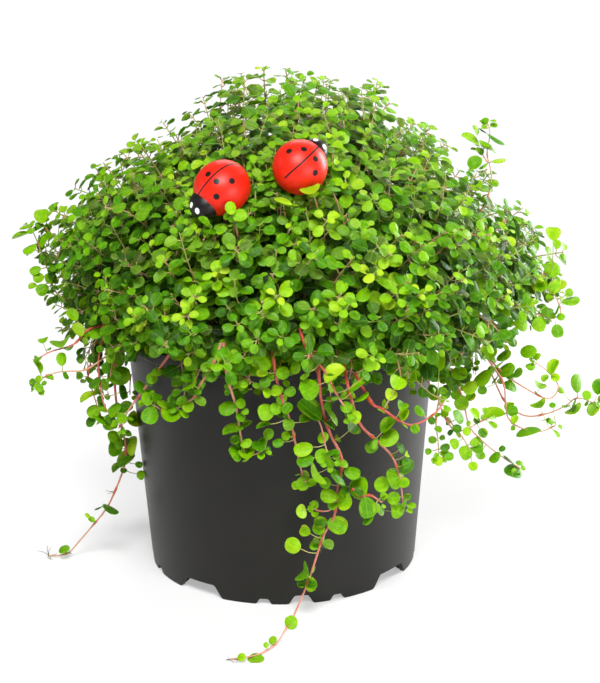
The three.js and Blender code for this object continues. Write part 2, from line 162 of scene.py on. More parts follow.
def makeLeafTissue():
    material, tree = newMaterial("leafTissue")
    tone = addNode(tree, "Attribute", attribute_name="tone")
    parts = addNode(tree, "SeparateColor", {"Color": tone.outputs["Color"]})
    blade = addNode(tree, "UVMap", uv_map="bladeMap")
    spot = addNode(tree, "SeparateXYZ", {"Vector": blade})
    shifted = addNode(tree, "Math", {0: spot.outputs["Y"], 1: 0.5}, operation="SUBTRACT")
    off = addNode(tree, "Math", {0: shifted}, operation="ABSOLUTE")
    midrib = addNode(
        tree, "MapRange", {"Value": off, "From Min": 0.045, "From Max": 0.012},
        interpolation_type="SMOOTHSTEP",
    )
    slanted = addNode(tree, "Math", {0: off, 1: -0.8, 2: spot.outputs["X"]}, operation="MULTIPLY_ADD")
    repeated = addNode(tree, "Math", {0: slanted, 1: leafLook["sideVeins"]}, operation="MULTIPLY")
    wave = addNode(tree, "Math", {0: repeated, 1: 0.5}, operation="PINGPONG")
    sideVein = addNode(
        tree, "MapRange", {"Value": wave, "From Min": 0.12, "From Max": 0.02, "To Max": 0.45},
        interpolation_type="SMOOTHSTEP",
    )
    veins = addNode(tree, "Math", {0: midrib, 1: sideVein}, operation="MAXIMUM")
    fromMiddle = addNode(tree, "VectorMath", {0: blade, 1: (0.5, 0.5, 0)}, operation="DISTANCE")
    margin = addNode(tree, "MapRange", {
        "Value": fromMiddle.outputs["Value"], "From Min": 0.42, "From Max": 0.50, "To Max": 0.3,
    }, interpolation_type="SMOOTHSTEP")
    everywhere = addNode(tree, "TexCoord").outputs["Object"]
    mottle = addNode(
        tree, "TexNoise", {"Vector": everywhere, "Scale": metre / leafLook["mottle"], "Detail": 2.0}
    )
    uneven = addNode(tree, "Math", {0: mottle, 1: 0.3, 2: -0.15}, operation="MULTIPLY_ADD")
    shade = addNode(tree, "Math", {0: parts.outputs["Red"], 1: uneven}, operation="ADD")
    green = addNode(tree, "ValToRGB", {"Fac": shade}, leafLook["green"])
    warm = addNode(tree, "Math", {0: parts.outputs["Green"], 1: 0.6}, operation="MULTIPLY")
    tanned = addNode(tree, "Mix", {0: warm, 6: green, 7: fromHex(leafLook["tan"])}, data_type="RGBA")
    below = addNode(tree, "MapRange", {"Value": parts.outputs["Blue"], "From Max": 0.5, "To Max": 0.55})
    pale = addNode(tree, "Mix", {0: below, 6: tanned, 7: fromHex(leafLook["under"])}, data_type="RGBA")
    veinShare = addNode(tree, "Math", {0: veins, 1: 0.16}, operation="MULTIPLY")
    veined = addNode(tree, "Mix", {0: veinShare, 6: pale, 7: fromHex(leafLook["vein"])}, data_type="RGBA")
    colour = addNode(tree, "Mix", {0: margin, 6: veined, 7: fromHex(leafLook["margin"])}, data_type="RGBA")
    puckers = addNode(
        tree, "TexNoise", {"Vector": everywhere, "Scale": metre / leafLook["pucker"], "Detail": 1.0}
    )
    puckered = addNode(
        tree, "Bump", {"Strength": 0.6, "Distance": leafLook["puckerRelief"] / metre, "Height": puckers}
    )
    relief = addNode(tree, "Bump", {
        "Strength": 0.35, "Distance": leafLook["relief"] / metre, "Height": veins, "Normal": puckered,
    }, invert=True)
    skin = addNode(tree, "BsdfPrincipled", {
        "Base Color": colour, "Normal": relief, "Roughness": leafLook["roughness"], "IOR": 1.38,
        "Specular IOR Level": 0.22, "Subsurface Weight": 0.15, "Subsurface Radius": (0.6, 1.0, 0.1),
        "Subsurface Scale": 0.0010,
    })
    addNode(tree, "OutputMaterial", {"Surface": skin})
    return material


# Stem tissue: a thin watery stem, red where it is old and in the light, pale green to tan where young,
# with orange-brown scales at its joints. Towards its base deep in the crown it turns dark brown, partly
# age and partly painted shade; the fine roots share that dark brown as their own colour.
stemLook = dict(
    colours=[(0.0, "#7d9c30"), (0.3, "#b09468"), (0.55, "#c48670"), (0.8, "#b8493e"), (1.0, "#922418")],
    joint="#a8521c", oldAndShaded="#2e2413", roughness=0.42, streak=3.0,  # streak in mm
)


def makeStemTissue():
    material, tree = newMaterial("stemTissue")
    tone = addNode(tree, "Attribute", attribute_name="tone")
    parts = addNode(tree, "SeparateColor", {"Color": tone.outputs["Color"]})
    everywhere = addNode(tree, "TexCoord").outputs["Object"]
    streak = addNode(
        tree, "TexNoise", {"Vector": everywhere, "Scale": metre / stemLook["streak"], "Detail": 2.0}
    )
    uneven = addNode(tree, "Math", {0: streak, 1: 0.3, 2: -0.15}, operation="MULTIPLY_ADD")
    shade = addNode(tree, "Math", {0: parts.outputs["Red"], 1: uneven}, operation="ADD")
    colour = addNode(tree, "ValToRGB", {"Fac": shade}, stemLook["colours"])
    scaly = addNode(
        tree, "Mix", {0: parts.outputs["Green"], 6: colour, 7: fromHex(stemLook["joint"])}, data_type="RGBA"
    )
    agedAndShaded = addNode(
        tree, "Mix", {0: parts.outputs["Blue"], 6: scaly, 7: fromHex(stemLook["oldAndShaded"])}, data_type="RGBA"
    )
    skin = addNode(tree, "BsdfPrincipled", {
        "Base Color": agedAndShaded, "Roughness": stemLook["roughness"], "IOR": 1.42,
        "Subsurface Weight": 0.15, "Subsurface Radius": (1.0, 0.5, 0.3), "Subsurface Scale": 0.0008,
    })
    addNode(tree, "OutputMaterial", {"Surface": skin})
    return material


leafTissue = makeLeafTissue()
stemTissue = makeStemTissue()


# One leaf blade, modelled in three forms and then copied to every place. It is 1 long and about 1 wide,
# starts at the origin, points along x and faces up z.
bladeShape = dict(rims=dict(crown=10, near=18), rings=4, thickness=0.05, notch=0.022, tipWider=0.16)
bladeForms = dict(
    domed=dict(cup=-0.15, fold=0.04, curl=-0.12),
    cupped=dict(cup=0.15, fold=0.05, curl=0.10),
    folded=dict(cup=0.02, fold=0.22, curl=-0.20),
)


def selectWhere(piece, test):
    bpy.ops.object.mode_set(mode="EDIT")
    bpy.ops.mesh.select_mode(type="VERT")
    bpy.ops.mesh.select_all(action="DESELECT")
    bpy.ops.object.mode_set(mode="OBJECT")
    for vertex in piece.data.vertices:
        vertex.select = test(vertex.co)
    bpy.ops.object.mode_set(mode="EDIT")


def modelBlade(rim, cup, fold, curl):
    bpy.ops.object.select_all(action="DESELECT")
    bpy.ops.mesh.primitive_uv_sphere_add(
        segments=rim, ring_count=bladeShape["rings"], radius=0.5, location=(0.5, 0, 0)
    )
    leaf = bpy.context.object
    bpy.ops.object.transform_apply(location=True, rotation=False, scale=False)
    selectWhere(leaf, lambda spot: spot.z < -0.1)
    bpy.ops.mesh.merge(type="CENTER")  # the underside is one low fan
    bpy.ops.mesh.select_all(action="SELECT")
    bpy.ops.transform.resize(value=(1, 1, bladeShape["thickness"]), center_override=(0.5, 0, 0))
    bpy.ops.mesh.quads_convert_to_tris()
    selectWhere(leaf, lambda spot: spot.x > 0.99)
    bpy.ops.transform.translate(value=(-bladeShape["notch"], 0, 0))  # the tip is slightly notched
    bpy.ops.object.mode_set(mode="OBJECT")
    underside = [vertex.co.z < -0.1 * bladeShape["thickness"] for vertex in leaf.data.vertices]
    for vertex in leaf.data.vertices:
        x, y, z = vertex.co
        y *= 0.88 + bladeShape["tipWider"] * x
        z += cup * (2 * y) ** 2 + fold * abs(2 * y) + curl * (x - 0.4) ** 2
        vertex.co = (x, y, z)
    points = np.array([tuple(vertex.co) for vertex in leaf.data.vertices])
    triangles = np.array([tuple(face.vertices) for face in leaf.data.polygons])
    bpy.data.meshes.remove(leaf.data)
    return points, triangles, np.array(underside)


formNames = list(bladeForms)
blades = {
    fineness: [modelBlade(rim, **form) for form in bladeForms.values()]
    for fineness, rim in bladeShape["rims"].items()
}
print("stage: leaf blades modelled,", {key: len(forms[0][1]) for key, forms in blades.items()}, "triangles")


# A plant piece is first a list of blades and stems, then one mesh.
def newPlant(fineness="crown"):
    return dict(blades=[], stems=[], fineness=fineness)


def addBlade(plant, base, aim, face, length, width, tone, form):
    aim = Vector(aim).normalized()
    side = Vector(face).cross(aim)
    if side.length < 0.1:
        side = aim.orthogonal()
    side.normalize()
    normal = aim.cross(side)
    plant["blades"].append((formNames.index(form), base, aim * length, side * width, normal * length, tone))


def addStem(plant, points, radii, tones, sides):
    plant["stems"].append((np.array([tuple(p) for p in points]), np.array(radii), np.array(tones), sides))


def tubeRings(points, radii, sides):
    tangents = np.gradient(points, axis=0)
    tangents /= np.linalg.norm(tangents, axis=1)[:, None]
    first = np.cross(tangents[0], (0.0, 0.0, 1.0))
    if np.linalg.norm(first) < 0.1:
        first = np.cross(tangents[0], (1.0, 0.0, 0.0))
    turns = np.arange(sides) * 2 * math.pi / sides
    rings = []
    for point, tangent, radius in zip(points, tangents, radii):
        first = first - tangent * first.dot(tangent)
        first /= np.linalg.norm(first)
        second = np.cross(tangent, first)
        rings.append(point + radius * (np.outer(np.cos(turns), first) + np.outer(np.sin(turns), second)))
    return np.concatenate(rings)


def tubeFaces(count, sides):
    faces, spots = [], []
    for i in range(count - 1):
        for j in range(sides):
            k = (j + 1) % sides
            faces.append((i * sides + j, i * sides + k, (i + 1) * sides + k, (i + 1) * sides + j))
            low, high = i / (count - 1), (i + 1) / (count - 1)
            near, far = j / sides, (j + 1) / sides
            spots.append(((low, near), (low, far), (high, far), (high, near)))
    faces.append(tuple(range(sides - 1, -1, -1)))
    spots.append(((0.0, 0.5),) * sides)
    faces.append(tuple(range((count - 1) * sides, count * sides)))
    spots.append(((1.0, 0.5),) * sides)
    return faces, spots


tubePatterns = {}
triangleCounts = {}
atlas = dict(stemShare=0.2, border=0.08)


def atlasCells(count, low, high, squareness):  # lower left corners and size of the map's cells
    columns = max(1, math.ceil(math.sqrt(count / squareness)))
    rows = max(1, math.ceil(count / columns))
    size = np.array((1 / columns, (high - low) / rows))
    index = np.arange(count)
    corners = np.stack((index % columns, index // columns), axis=1) * size + (0, low)
    return corners + size * atlas["border"], size * (1 - 2 * atlas["border"])


def buildPlant(name, plant, node):
    points, faces, tones, bladeMap, bakeMap, wearing = [], [], [], [], [], []
    start = 0
    corners, size = atlasCells(len(plant["blades"]), atlas["stemShare"], 1.0, 1 - atlas["stemShare"])
    for number, (form, base, aim, side, normal, tone) in enumerate(plant["blades"]):
        shape, triangles, underside = blades[plant["fineness"]][form]
        points.append(shape @ np.array((aim, side, normal)) + np.array(base))
        faces.extend((triangles + start).tolist())
        shades = np.tile(np.array(tone, dtype=float), (len(shape), 1))
        shades[:, 2] = underside
        tones.append(shades)
        spots = shape[triangles.ravel(), :2] + (0, 0.5)
        bladeMap.append(spots)
        bakeMap.append(corners[number] + spots * size)
        wearing.extend([0] * len(triangles))
        start += len(shape)
    corners, size = atlasCells(len(plant["stems"]), 0.0, atlas["stemShare"], 1.0)
    for number, (path, radii, stemTones, sides) in enumerate(plant["stems"]):
        key = (len(path), sides)
        if key not in tubePatterns:
            tubePatterns[key] = tubeFaces(*key)
        pattern, spots = tubePatterns[key]
        points.append(tubeRings(path, radii, sides))
        faces.extend([tuple(i + start for i in face) for face in pattern])
        tones.append(np.repeat(stemTones, sides, axis=0))
        flat = np.array([spot for face in spots for spot in face])
        bladeMap.append(flat)
        bakeMap.append(corners[number] + flat * size)
        wearing.extend([1] * len(pattern))
        start += len(path) * sides
    mesh = bpy.data.meshes.new(name)
    spots = np.concatenate(points)
    spots[:, 2] = np.maximum(spots[:, 2], 0.15)  # what lies on the surface stays above it
    mesh.from_pydata((spots / metre + np.array(potAxis)).tolist(), [], faces)
    mesh.polygons.foreach_set("material_index", wearing)
    mesh.materials.append(leafTissue)
    mesh.materials.append(stemTissue)
    colours = np.ones((start, 4))
    colours[:, :3] = np.concatenate(tones)
    mesh.color_attributes.new("tone", "FLOAT_COLOR", "POINT").data.foreach_set("color", colours.ravel())
    for label, spots in (("bladeMap", bladeMap), ("OFBake", bakeMap)):
        mesh.uv_layers.new(name=label).data.foreach_set("uv", np.concatenate(spots).ravel())
    piece = bpy.data.objects.new(name, mesh)
    scene.collection.objects.link(piece)
    bpy.ops.object.select_all(action="DESELECT")
    piece.select_set(True)
    bpy.context.view_layer.objects.active = piece
    bpy.ops.object.shade_smooth_by_angle(angle=math.radians(80))
    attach(piece, "root")
    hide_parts(node)
    triangleCounts[name] = sum(len(face) - 2 for face in faces)


# The ladybird picks: a painted wooden egg, cut flat underneath, with a domed head, on a stick. In each one's
# own frame x points towards its head, z out of its back, and the origin is in the middle of the egg. Their
# places and directions were worked out from pixels and tilts read off the photograph.
ladybird = dict(
    halfLength=10.9, halfWidth=10.6, height=9.8, under=4.5, headReach=4.2, headHalfWidth=5.6, headHeight=5.4,
    headUnder=3.0, headOverlap=2.5, neck=2.6,
)
ladybirds = {
    "ladybird_left": dict(
        centre=(-21.8, -64.6, 177.2), back=(-0.289, -0.564, 0.773), head=(-0.602, -0.521, -0.606),
    ),
    "ladybird_right": dict(
        centre=(8, -59.1, 183.8), back=(0.23, -0.81, 0.539), head=(0.633, 0.546, 0.549),
    ),
}


def ladybirdFrame(centre, back, head):
    outward = Vector(back).normalized()
    side = outward.cross(Vector(head)).normalized()
    return Matrix.Translation(centre) @ Matrix((side.cross(outward), side, outward)).transposed().to_4x4()


ladybirdFrames = [ladybirdFrame(**spec) for spec in ladybirds.values()]
intoLadybirds = [matrix.inverted() for matrix in ladybirdFrames]


def hitsLadybird(point, spare):  # in a ladybird, or above its back where a leaf would hide it
    for inward in intoLadybirds:
        x, y, z = inward @ Vector(point)
        body = (x / (ladybird["halfLength"] + spare)) ** 2 + (y / (ladybird["halfWidth"] + spare)) ** 2
        headX = x - ladybird["halfLength"]
        head = (headX / (ladybird["headReach"] + spare)) ** 2
        head += (y / (ladybird["headHalfWidth"] + spare)) ** 2
        if z > -ladybird["under"] - spare and (body < 1 or (head < 1 and headX > 0)):
            return True
    return False


# The crown: stems that rise from the soil and spread to the dome's surface, with opposite leaves in pairs
# that turn a quarter round the stem from one pair to the next. The tufts of the frame give the surface.
crown = dict(
    centre=(0, 0, 100), stems=760, lowest=-13, rootRadius=44, rootHeight=92,
    joints=[0.5, 3.2, 7.0, 11.8, 17.4, 24.0, 31.5], sizes=[3.6, 5.0, 6.0, 6.7, 7.0, 7.0, 6.6],
    stemRadius=0.42, leafRatio=0.9, stalkShare=0.34, topWarmth=0.16, lightFrom=(-0.1, -0.8, 0.6),
    facing=dict(outward=0.4, up=0.6, light=0.5, stem=0.4, jitter=0.28),  # what a leaf turns towards
    tips=(-11, 5),  # how far tips end from the surface of the tufts, in mm
    fillers=1500, fillerDepth=(13, 34), fillerHeights=(98, 172), fillerSize=(5.0, 7.0),
    reach=[
        (75, 345, 40, -15), (188, 120, 42, -7), (375, 87, 22, 9), (550, 275, 42, 8), (80, 205, 30, 6),
        (240, 88, 30, 4), (535, 240, 25, 6), (160, 372, 24, -7),
    ],
)  # reach: pixel and radius in the photograph, and how much farther the crown goes there, in mm


def crownSurface():
    points, faces, owners = [], [], []
    for name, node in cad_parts.items():
        if not name.startswith("tuft_"):
            continue
        start = len(points)
        points.extend(potFrame(node.matrix_world @ vertex.co) for vertex in node.data.vertices)
        for face in node.data.polygons:
            faces.append([start + i for i in face.vertices])
            owners.append(name)
    return BVHTree.FromPolygons(points, faces), owners


surface, owners = crownSurface()
crownCentre = Vector(crown["centre"])
crownLight = Vector(crown["lightFrom"]).normalized()
plants = {name: newPlant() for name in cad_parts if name.startswith("tuft_")}
draw = random.Random(12)


def jitter(size):
    return Vector((draw.gauss(0, size), draw.gauss(0, size), draw.gauss(0, size)))


def surfaceAlong(direction):
    start = crownCentre + direction * 220
    spot, _, face, _ = surface.ray_cast(start, -direction)
    return (spot, owners[face]) if spot else (None, None)


def bezier(a, b, c, d, count):
    spots = []
    for i in range(count):
        t = i / (count - 1)
        s = 1 - t
        spots.append(a * s ** 3 + b * 3 * s * s * t + c * 3 * s * t * t + d * t ** 3)
    return spots


def alongPath(points, distance):  # point and direction at that distance before the end
    for i in range(len(points) - 1, 0, -1):
        step = points[i] - points[i - 1]
        if distance <= step.length or i == 1:
            return points[i] - step * (distance / step.length), step.normalized()
        distance -= step.length


def leafTone(brightness, warmth=0.0):
    return (min(max(brightness, 0), 1), warmth, 0)


def growLeaf(plant, joint, stemAim, out, size, tone, redness):
    # out is the side of the stem that the leaf grows on
    outward = Vector((joint.x, joint.y, 0)).normalized()
    weights = crown["facing"]
    facing = outward * weights["outward"] + up * weights["up"] + crownLight * weights["light"]
    facing = facing + stemAim * weights["stem"] + jitter(weights["jitter"])
    stalk = (out * 0.9 + stemAim * 0.5 + jitter(0.12)).normalized() * size * crown["stalkShare"]
    base = joint + stalk
    aim = out + stemAim * 0.25 + jitter(0.16)
    aim -= facing.normalized() * aim.dot(facing.normalized()) * 0.85
    along = aim.normalized()
    if hitsLadybird(base + along * size * 0.5, 0.5) or hitsLadybird(base + along * size, 0.3):
        return
    form = draw.choices(formNames, (5, 4, 2))[0]
    width = size * crown["leafRatio"] * draw.uniform(0.84, 1.06)
    addBlade(plant, base, aim, facing, size, width, tone, form)
    if size > 3.5:
        stemTone = (redness * 0.6, 0, 0)
        bend = joint + stalk * 0.5 - facing * 0.2
        addStem(plant, (joint, bend, base + along * 0.4), (0.3, 0.24, 0.2), (stemTone,) * 3, 3)


def growCrownStem(direction):
    tip, owner = surfaceAlong(direction)
    if tip is None:
        return
    outward = (tip - crownCentre).normalized()
    thin = noise.noise(outward * 5.0) * 5
    change = sum(
        more * math.exp(-(math.dist(pixelOf(tip), (x, y)) / radius) ** 2)
        for x, y, radius, more in crown["reach"]
    )
    tip = tip + outward * (draw.uniform(*crown["tips"]) + thin + change)
    if hitsLadybird(tip, 0.5):
        return
    flat = Vector((tip.x, tip.y, 0))
    rootReach = min(flat.length * 0.5, crown["rootRadius"])
    aside = Vector((draw.uniform(-6, 6), draw.uniform(-6, 6), crown["rootHeight"]))
    root = flat.normalized() * rootReach + aside
    span = (tip - root).length
    low = max(0.0, 1 - outward.z / 0.45)
    rise = root + up * span * (0.35 + 0.25 * low) + flat.normalized() * span * 0.1
    aim = (outward + up * (0.3 - 0.75 * low) + jitter(0.34)).normalized()
    path = bezier(root, rise, tip - aim * span * 0.35, tip, 9)
    redness = min(max(draw.gauss(0.34, 0.22), 0), 1)
    growFoliage(plants[owner], path, draw.uniform(0.82, 1.12), redness, draw.gauss(0.62, 0.13), crown)


def growFoliage(plant, path, vigour, redness, light, spec):  # the stem and its leaf pairs, from the tip down
    last = len(path) - 1
    # the stem darkens towards its base: partly age, partly painted shade deep in the crown
    tones = [(redness * (1 - 0.5 * i / last), 0, 0.35 * (1 - i / last)) for i in range(last + 1)]
    radii = [crown["stemRadius"] * (1.15 - 0.6 * i / last) for i in range(last + 1)]
    addStem(plant, path, radii, tones, 5)
    turn = draw.uniform(0, math.pi)
    for number, (back, size) in enumerate(zip(spec["joints"], spec["sizes"])):
        joint, stemAim = alongPath(path, back * vigour)
        first = stemAim.orthogonal().normalized()
        out = Quaternion(stemAim, turn + number * math.pi / 2 + draw.uniform(-0.3, 0.3)) @ first
        for side in (1, -1):
            warmth = draw.gauss(-0.05, 0.1) + crown["topWarmth"] * min(max((joint.z - 130) / 60, 0), 1)
            # leaves farther back from the tip lie deeper in the crown: darker for age and as painted shade
            tone = leafTone(light - 0.012 * back + draw.gauss(0, 0.09), max(warmth, 0))
            grown = size * vigour * draw.uniform(0.85, 1.1)
            growLeaf(plant, joint, stemAim, out * side, grown, tone, redness)


def spreadDirections(count, lowest):  # even directions over the dome, in a fixed order
    floor = math.sin(math.radians(lowest))
    golden = math.pi * (3 - math.sqrt(5))
    for i in range(count):
        height = floor + (1 - floor) * (i + 0.5) / count
        turn = golden * i + draw.uniform(-0.05, 0.05)
        flat = math.sqrt(1 - height * height)
        yield (Vector((flat * math.cos(turn), flat * math.sin(turn), height)) + jitter(0.02)).normalized()


def growFiller(direction):  # older leaves deeper in the crown, painted darker as painted shade of its inner gaps
    spot, owner = surfaceAlong(direction)
    if spot is None:
        return
    outward = (spot - crownCentre).normalized()
    spot = spot - outward * draw.uniform(*crown["fillerDepth"])
    lowest, highest = crown["fillerHeights"]
    if hitsLadybird(spot, 3) or spot.z < lowest or spot.z > highest:
        return
    aim = outward.orthogonal().normalized()
    aim = Quaternion(outward, draw.uniform(0, 2 * math.pi)) @ aim
    size = draw.uniform(*crown["fillerSize"])
    # the dark tone of these inner leaves is painted shade
    tone = leafTone(draw.uniform(0.0, 0.3))
    aim = aim + jitter(0.3)
    facing = outward + up * 0.4 + jitter(0.5)
    addBlade(plants[owner], spot, aim, facing, size, size * 0.88, tone, "domed")


# Short sprigs that hang over the lip all round, longest at the sides and the back.
fringe = dict(
    sprigs=64, lipReach=70, drop=(14, 30), frontDrop=(2, 7),
    joints=[0.5, 3.6, 8.0, 13.5, 19.5], sizes=[3.0, 4.6, 5.8, 6.4, 6.6],
    gaps=[(105, 350, 22), (440, 375, 14), (158, 382, 20)],
)  # gaps: pixel and radius in the photograph where the foliage is open


def growFringeSprig(turn):
    out = Vector((math.sin(turn), -math.cos(turn), 0))
    spot, owner = surfaceAlong((out + up * draw.uniform(0.04, 0.16)).normalized())
    if spot is None:
        return
    front = math.exp(-(math.remainder(turn, 2 * math.pi) / 0.95) ** 2)
    drop = draw.uniform(*fringe["drop"]) * (1 - front) + draw.uniform(*fringe["frontDrop"]) * front
    edge = out * (fringe["lipReach"] + draw.uniform(0, 7)) + up * draw.uniform(104, 112)
    tip = edge + out * draw.uniform(2, 9) - up * drop + jitter(2.5)
    if any(math.dist(pixelOf(tip), (x, y)) < radius for x, y, radius in fringe["gaps"]):
        return
    root = out * 44 + up * 98
    path = bezier(root, root.lerp(edge, 0.7) + up * 14, edge + out * 6 + up * 4, tip, 12)
    vigour, redness, light = draw.uniform(0.9, 1.1), draw.uniform(0.3, 0.8), draw.gauss(0.6, 0.1)
    growFoliage(plants[owner], path, vigour, redness, light, fringe)


# Sprigs that grow up under each ladybird and round its rim, so that it nestles in leaves.
nest = dict(
    rings=[(1.16, 18, 1.0), (0.8, 10, -2.5)],
    joints=[0.5, 3.4, 7.0, 11.6, 17.0, 23.0], sizes=[3.6, 5.2, 6.2, 6.6, 6.6, 6.2],
)  # rings: how far out in body sizes, how many sprigs, height over the rim


def growNest(matrix):
    for reach, count, above in nest["rings"]:
        for i in range(count):
            turn = 2 * math.pi * (i + draw.uniform(-0.35, 0.35)) / count
            x = math.cos(turn) * reach * ladybird["halfLength"]
            y = math.sin(turn) * reach * ladybird["halfWidth"]
            if math.cos(turn) > 0.75:
                x += ladybird["headReach"] + 1.5
                above -= 0.2  # adds up, so that the ring sinks a little round the head
            tip = matrix @ Vector((x, y, above - ladybird["under"] + draw.uniform(-1.5, 0.8)))
            flat = Vector((tip.x, tip.y, 0))
            root = flat * 0.55 + Vector((draw.uniform(-5, 5), draw.uniform(-5, 5), crown["rootHeight"] + 8))
            span = (tip - root).length
            outwards = (matrix.to_3x3() @ Vector((x, y, 0))).normalized()
            path = bezier(root, root + up * span * 0.45, tip - up * span * 0.3 - outwards * 2, tip, 9)
            _, owner = surfaceAlong((tip - crownCentre).normalized())
            vigour, redness, light = draw.uniform(0.85, 1.05), draw.uniform(0.1, 0.5), draw.gauss(0.62, 0.1)
            growFoliage(plants[owner], path, vigour, redness, light, nest)


for direction in spreadDirections(crown["stems"], crown["lowest"]):
    growCrownStem(direction)
for direction in spreadDirections(crown["fillers"], crown["lowest"] + 4):
    growFiller(direction)
for matrix in ladybirdFrames:
    growNest(matrix)
for i in range(fringe["sprigs"]):
    growFringeSprig(2 * math.pi * (i + draw.uniform(-0.4, 0.4)) / fringe["sprigs"])
print("stage: crown grown,", sum(len(plant["blades"]) for plant in plants.values()), "leaves")


